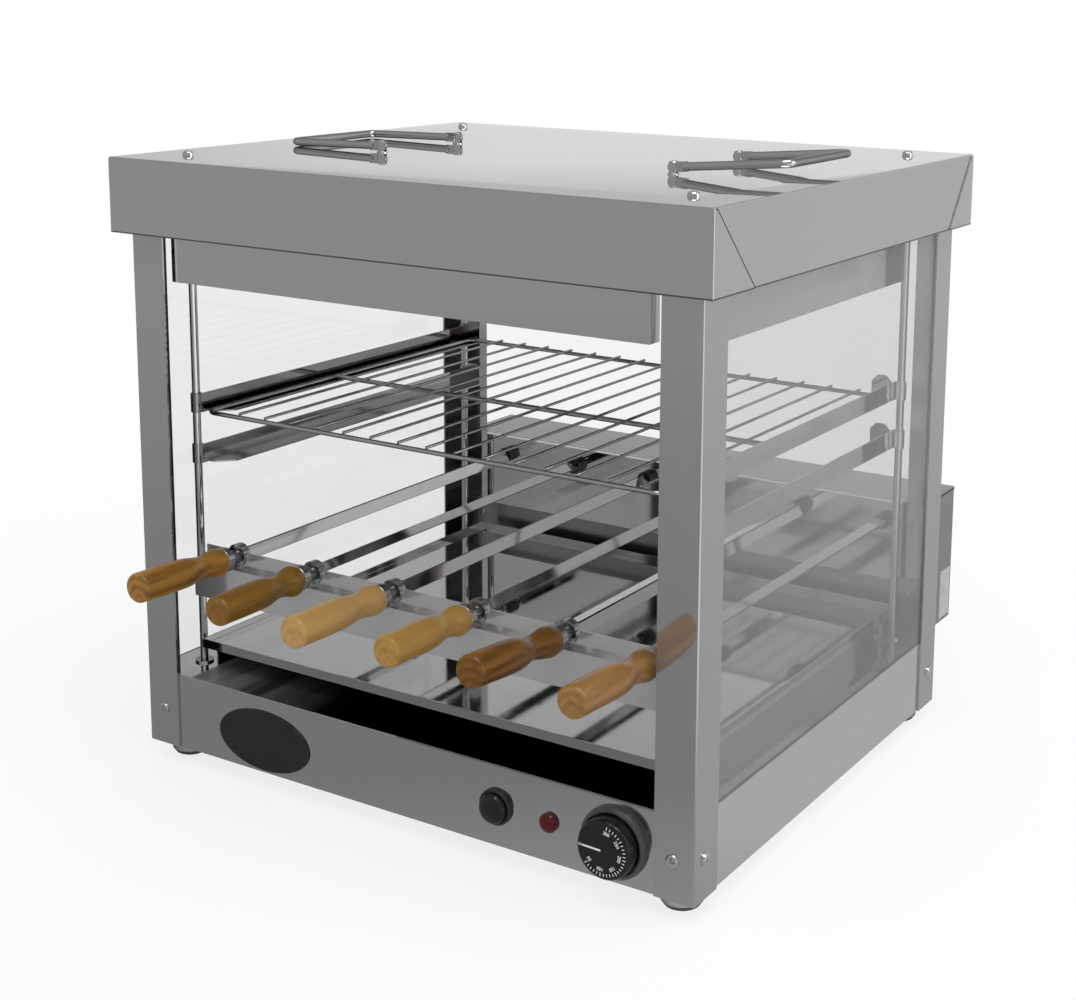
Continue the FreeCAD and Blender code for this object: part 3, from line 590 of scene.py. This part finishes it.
# painted shade: a dark band round the bottom of each foot, for the floor's shade mirrored in the chrome
foot_rim = steel("foot_rim_painted_shade", 0.20, 0.22, ALONG_Z, 0.002, rim=0.05)
mirror_sheet = sheet_steel("mirror_steel", 0.80, 0.045)
dull_post = sheet_steel("dull_post_steel", 0.72, 0.20, level=False, swing=0.20)
# painted shade: a darker copy of the mirror steel for the deck's right half
deck_half_painted_shade = sheet_steel("mirror_steel_painted_shade", 0.45, 0.06)
# painted shade: the drip tray's faces across Y take a darker copy of its mirror steel
tray_rim_painted_shade = steel("tray_rim_steel", 0.50, 0.07, ALONG_X)
painted_reflection_deck = painted_reflection_steel()
# painted shade: a darker tone of rough steel for the back panel and the drive parts behind it, which sit in
# shade
dull_sheet_painted_shade = sheet_steel("dull_steel_painted_shade", 0.40, 0.28)
blade_steel = steel("blade_steel", 0.74, 0.07, ALONG_Y, 0.003)
ferrule_steel = steel("spun_ferrule_steel", 0.55, 0.16, ALONG_Z, 0.003, rim=0.14)
# painted shade: the journal and neck, in the crossbar's slot, take darker steel than the blade, and the
# blade's edges a near black
journal_steel = steel("journal_painted_shade_steel", 0.60, 0.14, ALONG_Z, 0.003, rim=0.30)
blade_edge_painted_shade = steel("blade_edge_painted_shade_steel", 0.16, 0.12, ALONG_Y, 0.002)
neck_steel = steel("neck_painted_shade_steel", 0.34, 0.16, ALONG_Z, 0.003, rim=0.12)
bright_steel = steel("bright_turned_steel", 0.76, 0.07, ALONG_Z, 0.003)
rod_steel = steel("drawn_rod_steel", 0.80, 0.08, ALONG_Z, 0.003, rim=0.22)
wire_steel = steel("bright_wire", 0.66, 0.10, ALONG_Y, 0.003, rim=0.12)
gear_steel = steel("cut_gear_steel", 0.50, 0.30, ALONG_Y, 0.012, 0.04, 0.08)
black_socket = steel("blackened_socket_steel", 0.09, 0.22, ALONG_Y, 0.006, 0.04, 0.1)
heater_sheath = steel("heater_tube", 0.16, 0.45, ALONG_X, 0.010, 0.08, 0.3)
# painted shade and light: the panes are one glass, and their tints differ only to set how dark each makes
# what stands behind it
side_glass = pane_glass("side_glass", 0.79, 0.92)
rear_glass = pane_glass("rear_glass", 0.985, 0.995)
left_glass = pane_glass("left_glass", 0.93, 0.97)
glass_edge = pane_glass("ground_glass_edge", 0.30, 0.6)
black_gloss = plastic("black_gloss", (0.007, 0.007, 0.008, 1), 0.16, 0.004)
bezel_black = plastic("bezel_black", (0.055, 0.055, 0.056, 1), 0.30, 0.010)
black_satin = plastic("black_satin", (0.016, 0.016, 0.017, 1), 0.36, 0.02)
white_print = plastic("white_print", (0.72, 0.72, 0.72, 1), 0.45, 0.002)
ruby_lens = plastic("ruby_lens", (0.075, 0.002, 0.005, 1), 0.08, 0.004)
badge_black = plastic("badge_black", (0.012, 0.012, 0.013, 1), 0.20, 0.006)
# painted shade: a flat grey for the rear corner tabs' slanted edges
tab_edge_painted_shade = plastic("folded_tab_edge", (0.20, 0.20, 0.20, 1), 0.5, 0.004)
shadow_gap = plastic("shadow_gap", (0.012, 0.012, 0.012, 1), 0.6, 0.004)
plate_foil = plastic("bare_plate_foil", (0.42, 0.42, 0.42, 1), 0.34, 0.004)

# pale and dark colour and the strength of the streaks of each handle's wood
GRIP_WOODS = [
    ((0.62, 0.300, 0.045, 1), (0.12, 0.050, 0.007, 1), 0.62),
    ((0.30, 0.145, 0.018, 1), (0.12, 0.056, 0.006, 1), 0.45),
    ((0.54, 0.330, 0.112, 1), (0.36, 0.205, 0.060, 1), 0.35),
    ((0.48, 0.275, 0.065, 1), (0.28, 0.148, 0.030, 1), 0.40),
    ((0.27, 0.112, 0.006, 1), (0.07, 0.027, 0.001, 1), 0.55),
    ((0.44, 0.225, 0.066, 1), (0.17, 0.084, 0.022, 1), 0.55),
]


# ---- sheet metal, glass and wires -----------------------------------------------------------------
def upright_at(half_width, half_depth):
    """Picks the upright edges at the four corners of a box of this size."""
    def picked(one, other):
        outer = abs(abs(one.x) - half_width) < 0.1 and abs(abs(one.y) - half_depth) < 0.1
        return outer and (one - other).xy.length < 0.05 and abs(one.z - other.z) > 10
    return picked


def seam_shadows():
    """The dark lines where the lid's folded corners and the rear housing's cover meet the sheet, as strips
    of painted shadow.
    """
    bm = bmesh.new()
    low, high = TAB_FOLD
    run = Vector((0, high[0] - low[0], high[1] - low[1]))
    for side in (-1, 1):
        strip = slab((1.0, 1.5, run.length), (0, 0, 0))
        middle = (side * (LID_HALF_WIDTH - 1), (low[0] + high[0]) / 2, (low[1] + high[1]) / 2)
        added(bm, place(strip, middle, run))
    piece("corner_seam_shadows", bm, shadow_gap)
    cover = bmesh.new()
    for side in (-1, 1):
        centre = (side * HOUSING_X, COVER_SEAM_Y, COVER_SEAM_Z)
        added(cover, slab((0.3, COVER_SEAM_LENGTH, 0.9), centre))
    piece("housing_cover_seam_shadows", cover, shadow_gap)


def dress_lid():
    """The folded lid, with painted shade on the edges of its corner tabs and in a dark band along the hem
    of its skirt.
    """
    lid = folded("lid", lid_sheet, 0.35, upright_at(LID_HALF_WIDTH, LID_HALF_DEPTH), 0.9)
    bm = bmesh.new()
    bm.from_mesh(lid.data)
    cut_at(bm, (0, 0, HEM_Z), (0, 0, 1))
    bm.to_mesh(lid.data)
    bm.free()

    # painted shade: the front tabs' slanted edges take the shadow colour, the rear ones the grey, and the
    # skirt below the hem the dark steel
    def lid_tone(face):
        slanted = 0.2 < abs(face.normal.z) < 0.9 and abs(face.normal.x) < 0.4
        if slanted and abs(face.center.x) > (LID_HALF_WIDTH - 0.9) * MM:
            return 3 if face.center.y < 0 else 4
        return 5 if face.center.z < HEM_Z * MM else face.material_index

    retoned(lid, [shadow_gap, tab_edge_painted_shade, hem_steel_painted_shade], lid_tone)


def dress_hood():
    """The heater hood. Its front apron hangs a little to the left of the middle."""
    bm = copied("heater_hood")
    front, rear = [y * MM for y in APRON_Y]
    for vert in bm.verts:
        if front < vert.co.y < rear and abs(vert.co.x) < APRON_HALF_WIDTH * MM:
            vert.co.x -= APRON_SHIFT * MM
    standing_for("heater_hood", bm, cabinet_level, 0.25)


def dress_shelf():
    """The drawn outer wire and its cross wire, with the thin wires welded on top of them.

    The outer wire is slimmed and set down on the rails, and the cross wire's ends reach into it."""
    frame_wire = copied("shelf_frame")
    frame_wire.normal_update()
    slimmer = STOUT_WIRE_RADIUS - SHELF_FRAME_RADIUS
    for vert in frame_wire.verts:
        vert.co -= vert.normal * slimmer * MM
        vert.co.z -= slimmer * MM
        on_cross = abs(vert.co.y - SHELF_CROSS_Y * MM) < (STOUT_WIRE_RADIUS + 0.1) * MM
        if on_cross and abs(vert.co.x) > SHELF_CROSS_END_X * MM:
            vert.co.x += (2 * slimmer if vert.co.x > 0 else -2 * slimmer) * MM
    standing_for("shelf_frame", frame_wire, [wire_steel], 0)
    wires = bmesh.new()
    r = SHELF_WIRE_RADIUS
    run = SHELF_WIRE_REAR - SHELF_WIRE_FRONT
    profile = [(0, 0), (0.25, r * 0.7), (0.8, r), (run - 0.8, r), (run - 0.25, r * 0.7), (run, 0)]
    level = SHELF_REST_Z + 2 * SHELF_FRAME_RADIUS + r - 0.25
    for x in SHELF_WIRE_X:
        added(wires, turned(profile, (x, SHELF_WIRE_FRONT, level), (0, 1, 0), 14))
    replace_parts(piece("welded_shelf_wires", wires, wire_steel, "shelf"), "shelf_wires")


def dress_posts():
    """Folded angles, satin outside and bright inside, where they face the grilling chamber: the inside's
    brighter tone is painted reflection.
    """
    # painted reflection: faces inside the chamber take a brighter steel than the same sheet outside
    def post_tone(face):
        inside = abs(face.center.x) < (POST_X - POST_SHEET) * MM \
            and abs(face.center.y) < (POST_Y - POST_SHEET) * MM
        return face.material_index + 3 if inside else face.material_index

    for corner in ("front_left", "front_right", "rear_left", "rear_right"):
        post = folded("post_" + corner, cabinet_upright, 0.25, upright_at(POST_X, POST_Y))
        retoned(post, dull_post if corner == "rear_right" else mirror_sheet, post_tone)


def dress_deck():
    """The mirror-polished deck. Beside the left wall it has a painted reflection, and its right half is
    darker, as painted shade.
    """
    start, end = PAINTED_REFLECTION_X

    def deck_tone(face):
        if face.center.x > 0:
            return face.material_index + 3
        # the stretch beside the left wall takes the painted reflection
        painted_reflection = start * MM < face.center.x < end * MM and face.normal.z > 0.9
        return 6 if painted_reflection else face.material_index

    bm = copied("base_deck")
    for x in (start, end, 0.0):
        cut_at(bm, (x, 0, 0), (1, 0, 0))
    deck = standing_for("base_deck", bm, mirror_sheet, 0.25)
    retoned(deck, deck_half_painted_shade + [painted_reflection_deck], deck_tone)


def dress_rails():
    """The shelf rails. On the left they take tones of painted reflection, and the upper one is darker than
    the lower one.
    """
    def rail_tone(face):
        if face.center.x >= 0:
            return face.material_index
        return face.material_index + (3 if face.center.z > RAILS_PART_Z * MM else 6)

    retoned(dressed("shelf_rails", rail_sheet, 0.25), rail_painted_shade + rail_painted_reflection, rail_tone)


def dress_cabinet():
    """The cabinet, its glass and feet, and what hangs and slides inside it."""
    dress_lid()
    seam_shadows()
    dress_hood()
    dress_posts()
    dressed("base_front", cabinet_level, 0.3)
    dressed("base_tub", cabinet_level, 0.3)
    dress_deck()
    dressed("base_rear", dull_sheet_painted_shade, 0.25)
    panes = dressed("glass_sides", [side_glass, glass_edge, glass_edge], 0.3)
    retoned(panes, [left_glass], lambda face: 3 if face.center.x < 0 and face.material_index == 0
            else face.material_index)
    dressed("glass_rear", [glass_edge, rear_glass, glass_edge], 0.3)
    feet = dressed("feet", [chrome_foot])
    # the feet's faces below FOOT_RIM_Z take the painted shade
    retoned(feet, [foot_rim], lambda face: 1 if face.center.z < FOOT_RIM_Z * MM else 0)
    dressed("tie_rods", [rod_steel])
    dressed("heating_elements", [heater_sheath])
    dress_rails()
    dressed("tray_runners", mirror_sheet, 0.25)
    dress_shelf()
    dressed("drip_tray", [mirror_sheet[0], tray_rim_painted_shade, mirror_sheet[2]], 0.3)
    dressed("crossbar", crossbar_sheet, 0.2)


def dress_drive():
    """The drive behind the chamber, from the gear motor to the sockets."""
    dressed("drive_box", mirror_sheet, 0.25)
    dressed("bearing_plate", dull_sheet_painted_shade, 0.2)
    dressed("gear_motor", [dull_sheet_painted_shade[1]], 0.4)
    dressed("drive_housing", housing_sheet, 0.3)
    dressed("cable_gland", [black_satin], 0.3)
    dressed("motor_pinion", [gear_steel])
    for number in range(1, 7):
        spindle = dressed("spindle_%d" % number, [gear_steel], 0.15)
        retoned(spindle, [black_socket], lambda face: 1 if face.center.y < SOCKET_END_Y * MM else 0)
    for number in range(1, 6):
        dressed("idler_gear_%d" % number, [gear_steel])


def dress_blade(number):
    """A folded blade with its fold and cut edges rubbed off and painted dark as shade, and its journal at
    the front.
    """
    node = "skewer_blade_%d" % number
    bm = copied(node)
    corners = [one for one in bm.edges if one.calc_length() > BLADE_RUN * MM
               and one.calc_face_angle_signed(0.0) > radians(60)]
    bmesh.ops.bevel(bm, geom=corners, offset=BLADE_EASE * MM, segments=1, affect="EDGES", profile=0.5,
                    material=-1, clamp_overlap=True)
    blade = standing_for(node, bm, [blade_steel], 0.1)

    # painted shade: the long edge faces are dark, and the neck and journal darker than the blade
    def blade_tone(face):
        ends = [blade.data.vertices[corner].co.y / MM for corner in face.vertices]
        run = max(ends) - min(ends)
        if run > BLADE_RUN and face.area < run * MM * BLADE_EDGE * MM:
            return 4
        passed = [face.center.y / MM >= limit for limit in (FERRULE_END_Y, NECK_END_Y, JOURNAL_END_Y)]
        return (sum(passed) + 1) % 4

    retoned(blade, [ferrule_steel, neck_steel, journal_steel, blade_edge_painted_shade], blade_tone)


def dress_skewers():
    """Six blades, each with a handle of its own shape and wood."""
    for number in range(1, 7):
        dress_blade(number)
        pale, dark, streaks = GRIP_WOODS[number - 1]
        centre = (SKEWER_X[number - 1] + 3.0, FERRULE_Y, SKEWER_Z - 4.0)
        wood = varnished_wood("grip_wood_%d" % number, pale, dark, streaks, centre)
        turned_grip(number, wood)


def turned_grip(number, wood):
    """A turned handle: a bulb behind the ferrule, a waist, a straight body and a marked flat end."""
    length, bulb, waist, waist_at, body, tilt = GRIP_SHAPES[number - 1]
    knots = [(0.0, FERRULE_RADIUS + 0.4), (0.055, bulb), (0.10, bulb - 0.3),
             (waist_at - 0.07, waist + 0.7), (waist_at, waist), (waist_at + 0.06, waist + 0.4),
             (waist_at + 0.14, body - 1.1), (waist_at + 0.22, body - 0.25), (0.65, body),
             (0.82, body - 0.1), (1.0, body - 0.15)]
    straight = length - GRIP_END_ROUND
    profile = [(0.0, 0.0)] + [(straight * at, radius) for at, radius in smoothed(knots, 4)]
    flat = body - 0.15 - GRIP_END_ROUND
    profile += [(straight + GRIP_END_ROUND * sin(turn), flat + GRIP_END_ROUND * cos(turn))
                for turn in (0.4, 0.8, 1.2, pi / 2)]
    profile += [(length, 3.1), (length - 0.35, 2.7), (length - 0.35, 1.2), (length - 1.0, 0.5),
                (length - 1.0, 0.0)]
    way = (0, -cos(radians(tilt)), sin(radians(tilt)))
    bm = turned(profile, (SKEWER_X[number - 1], FERRULE_Y, SKEWER_Z), way, 56)
    body_name = frame["nodes"]["skewer_grip_%d" % number]["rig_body"]
    handle = piece("turned_grip_%d" % number, bm, wood, body_name)
    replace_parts(handle, "skewer_grip_%d" % number)


# ---- screws, fittings and controls ----------------------------------------------------------------
def fasteners():
    """Cross-recessed screws: domes on the lid, pan heads on the posts and inside at the back."""
    bm = bmesh.new()
    for x in (-ROD_X, ROD_X):
        for y in (-ROD_Y, ROD_Y):
            added(bm, place(screw_head(*DOME_HEAD), (x, y, LID_TOP), (0, 0, 1)))
    for side_x in (-1, 1):
        for side_y in (-1, 1):
            flat = (side_x * FRONT_SCREW_X, side_y * POST_Y, SCREW_Z)
            added(bm, place(screw_head(*PAN_HEAD), flat, (0, side_y, 0)))
            edge = (side_x * POST_X, side_y * SIDE_SCREW_Y, SCREW_Z)
            added(bm, place(screw_head(*PAN_HEAD), edge, (side_x, 0, 0)))
    screws = piece("cross_recessed_screws", bm, bright_steel)
    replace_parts(screws, "screws")
    inside = bmesh.new()
    for x in (-INNER_SCREW_X, INNER_SCREW_X):
        for z in INNER_SCREW_HEIGHTS:
            added(inside, place(screw_head(*SMALL_HEAD), (x, INNER_SCREW_Y, z), (0, -1, 0)))
    piece("housing_screw_heads", inside, bright_steel)


def rating_plate():
    """A bare foil plate on the housing's side, with nothing printed on it."""
    plate = slab(RATING_PLATE_SIZE, (HOUSING_X + 0.05, RATING_PLATE_Y, RATING_PLATE_Z))
    eased(piece("bare_rating_plate", plate, plate_foil), 0.04)


def dial_marks():
    """White pointer, ticks and plain temperatures on the dial's flat face."""
    bm = bmesh.new()
    centre = Vector((KNOB_X, KNOB_FACE_Y - 0.03, CONTROL_Z))

    def laid(mark, radius, clockwise):
        """Stands a mark made in the XZ plane at this radius, with its top outwards."""
        turn = Matrix.Rotation(radians(clockwise), 4, "Y")
        out = Vector((sin(radians(clockwise)), 0, cos(radians(clockwise)))) * radius
        move = Matrix.Translation((centre + out) * MM)
        bmesh.ops.transform(mark, matrix=move @ turn, verts=mark.verts)
        added(bm, mark)

    ticks_per_figure = 5
    for step in range(ticks_per_figure * (len(TEMPERATURES) - 1) + 1):
        height = 1.9 if step % ticks_per_figure else 2.5
        laid(slab((0.55, 0.06, height), (0, 0, 0)), 16.3, TICK_START + TICK_STEP * step)
    for count, words in enumerate(TEMPERATURES):
        laid(lettering(words, 3.3), 12.6, TICK_START + 2 + ticks_per_figure * TICK_STEP * count)
    laid(slab((1.3, 0.06, 14.0), (0, 0, 0)), 8.6, POINTER)
    laid(lettering("0", 3.4), 17.0, POINTER)
    piece("dial_marks", bm, white_print, "dial_knob")


def lettering(words, size):
    """Plain figures as a thin bmesh standing in the XZ plane, read from the front."""
    curve = bpy.data.curves.new("figures", "FONT")
    curve.body = words
    curve.size = size * MM
    curve.align_x, curve.align_y = "CENTER", "CENTER"
    curve.extrude = 0.03 * MM
    curve.offset = 0.05 * MM
    holder = bpy.data.objects.new("figures", curve)
    mesh = bpy.data.meshes.new_from_object(holder)
    bm = bmesh.new()
    bm.from_mesh(mesh)
    bpy.data.objects.remove(holder)
    bpy.data.curves.remove(curve)
    bpy.data.meshes.remove(mesh)
    bmesh.ops.rotate(bm, matrix=Matrix.Rotation(radians(90), 3, "X"), verts=bm.verts)
    return bm


def dress_fittings():
    """Controls, badge, lid handles, screws, the bare plate and the dial's marks."""
    dressed("thermostat", [bezel_black], 0.3)
    dressed("thermostat_knob", [black_gloss], 0.3)
    dressed("switch_housing", [black_satin], 0.2)
    dressed("switch_button", [black_gloss])
    dressed("pilot_lamp", [ruby_lens])
    dressed("badge_plate", [badge_black], 0.2)
    dressed("bail_left", [wire_steel], 0.2)
    dressed("bail_right", [wire_steel], 0.2)
    dressed("bail_studs", [bright_steel], 0.2)
    fasteners()
    rating_plate()
    dial_marks()


# ---- floor, light and camera ----------------------------------------------------------------------
def ray_kinds(nodes, links, path):
    """Whether a ray has met a mirror on its way, and whether it came straight or only through glass."""
    mirrored = maths(nodes, links, "MINIMUM", path.outputs["Glossy Depth"], 1.0)
    direct = maths(nodes, links, "MAXIMUM", path.outputs["Is Camera Ray"],
                   path.outputs["Is Transmission Ray"])
    straight = maths(nodes, links, "MULTIPLY", direct, maths(nodes, links, "SUBTRACT", 1.0, mirrored))
    return mirrored, straight


def floor_in_steel(nodes, links, spot, distance):
    """How bright the floor looks in polished steel: it shades off to the front."""
    across = maths(nodes, links, "MULTIPLY", spot.outputs["X"], 0.6)
    back = maths(nodes, links, "ADD", spot.outputs["Y"], across)
    behind = mapped(nodes, links, back, -0.3, 0.1, 0.235, 0.43)
    far = mapped(nodes, links, distance, 0.4, 2.2, 0.0, 0.11)
    # a brighter sector to the front right, which starts beyond the grill
    to_right = maths(nodes, links, "MULTIPLY", spot.outputs["X"], 0.80)
    to_front = maths(nodes, links, "MULTIPLY", spot.outputs["Y"], 0.60)
    beside = maths(nodes, links, "SUBTRACT", to_right, to_front)
    sector = mapped(nodes, links, maths(nodes, links, "DIVIDE", beside, distance), 0.80, 0.97, 0.0, 0.60)
    distant = mapped(nodes, links, distance, 0.45, 0.80, 0.0, 1.0)
    sector = maths(nodes, links, "MULTIPLY", sector, distant)
    return maths(nodes, links, "ADD", maths(nodes, links, "ADD", behind, far), sector)


def floor_paper():
    """Pale paper, white to the eye away from the grill, and shaded where steel mirrors it."""
    material, nodes, links, shader = blank("floor_paper")
    shader.inputs["Base Color"].default_value = (0.90, 0.90, 0.90, 1)
    shader.inputs["Roughness"].default_value = 0.95
    shader.inputs["Specular IOR Level"].default_value = 0.1
    place_on = nodes.new("ShaderNodeTexCoord").outputs["Object"]
    spot = nodes.new("ShaderNodeSeparateXYZ")
    links.new(place_on, spot.inputs["Vector"])
    away = nodes.new("ShaderNodeVectorMath")
    away.operation = "LENGTH"
    links.new(place_on, away.inputs["Vector"])
    distance = away.outputs["Value"]
    seen = nodes.new("ShaderNodeEmission")
    links.new(floor_in_steel(nodes, links, spot, distance), seen.inputs["Color"])
    white = nodes.new("ShaderNodeEmission")
    white.inputs["Color"].default_value = (1, 1, 1, 1)
    mirrored, straight = ray_kinds(nodes, links, nodes.new("ShaderNodeLightPath"))
    paper, whiteness = shader.outputs["BSDF"], mapped(nodes, links, distance, 0.35, 1.3, 0.80, 1.0)
    for_eye = mixed_shaders(nodes, links, whiteness, paper, white.outputs["Emission"])
    for_steel = mixed_shaders(nodes, links, mirrored, paper, seen.outputs["Emission"])
    final = mixed_shaders(nodes, links, straight, for_steel, for_eye)
    links.new(final, nodes["Material Output"].inputs["Surface"])
    return material


def studio_floor():
    """A wide sweep of pale floor."""
    bm = bmesh.new()
    bmesh.ops.create_grid(bm, x_segments=1, y_segments=1, size=14.0)
    mesh = bpy.data.meshes.new("studio_floor")
    bm.to_mesh(mesh)
    bm.free()
    floor = bpy.data.objects.new("studio_floor", mesh)
    bpy.context.scene.collection.objects.link(floor)
    mesh.materials.append(floor_paper())


def studio_world():
    """White to the eye and through glass. Reflections see a bright horizon behind, and dark in front."""
    world = bpy.data.worlds.new("studio")
    bpy.context.scene.world = world
    world.use_nodes = True
    nodes, links = world.node_tree.nodes, world.node_tree.links
    background = nodes["Background"]
    way = nodes.new("ShaderNodeSeparateXYZ")
    links.new(nodes.new("ShaderNodeTexCoord").outputs["Generated"], way.inputs["Vector"])
    turned_part = maths(nodes, links, "MULTIPLY", way.outputs["X"], 0.45)
    lean = maths(nodes, links, "ADD", way.outputs["Y"], turned_part)
    back = mapped(nodes, links, lean, 0.05, 0.55, 0.0, 1.0)
    # behind the grill the sky falls by two steps, one just over the horizon and one at the wall's top
    horizon = mapped(nodes, links, way.outputs["Z"], 0.100, 0.120, 0.24, 0.03)
    wall = mapped(nodes, links, way.outputs["Z"], 0.30, 0.42, 0.52, 0.36)
    low = maths(nodes, links, "ADD", horizon, wall)
    shade = mixed(nodes, links, back, (0.33, 0.33, 0.33, 1), low)
    mirrored, straight = ray_kinds(nodes, links, nodes.new("ShaderNodeLightPath"))
    diffuse = mixed(nodes, links, mirrored, (0.72, 0.72, 0.72, 1), shade)
    links.new(mixed(nodes, links, straight, diffuse, (1, 1, 1, 1)), background.inputs["Color"])
    background.inputs["Strength"].default_value = 1.0


def lamp(name, place, aim, size, power, mirrored=True):
    """A soft rectangular lamp. One that isn't mirrored lights the steel without showing in it."""
    light = bpy.data.lights.new(name, "AREA")
    light.shape = "RECTANGLE"
    light.size, light.size_y = size
    light.energy = power
    holder = bpy.data.objects.new(name, light)
    holder.location = place
    holder.rotation_euler = (Vector(aim) - Vector(place)).to_track_quat("-Z", "Y").to_euler()
    holder.visible_glossy = holder.visible_transmission = mirrored
    bpy.context.scene.collection.objects.link(holder)


def studio_lamps():
    """One softbox above the front, one behind and one on the right."""
    lamp("overhead_softbox", (0.5, -0.5, 1.9), (0, 0, 0.2), (1.4, 1.0), 13.0)
    lamp("rear_softbox", (1.17, 1.45, 1.05), (0, -0.2, 0.15), (0.45, 0.45), 3.2, False)
    lamp("right_softbox", (1.7, 0.2, 1.0), (0, 0, 0.25), (0.8, 1.2), 5.0)


def camera():
    """A three-quarter view from the front right, a little above the lid."""
    eye = bpy.data.cameras.new("camera")
    eye.sensor_fit = "HORIZONTAL"
    eye.sensor_width = 36.0
    eye.lens = 59.51
    eye.shift_x = -0.0948
    eye.shift_y = -0.1859
    holder = bpy.data.objects.new("camera", eye)
    holder.location = (0.7408, -1.1082, 0.5875)
    holder.rotation_euler = (radians(79.907), radians(-0.687), radians(31.150))
    bpy.context.scene.collection.objects.link(holder)
    bpy.context.scene.camera = holder


# ---- the whole scene ------------------------------------------------------------------------------
bpy.context.scene.view_settings.view_transform = "Standard"
dress_cabinet()
dress_drive()
dress_skewers()
dress_fittings()
studio_floor()
studio_world()
studio_lamps()
camera()
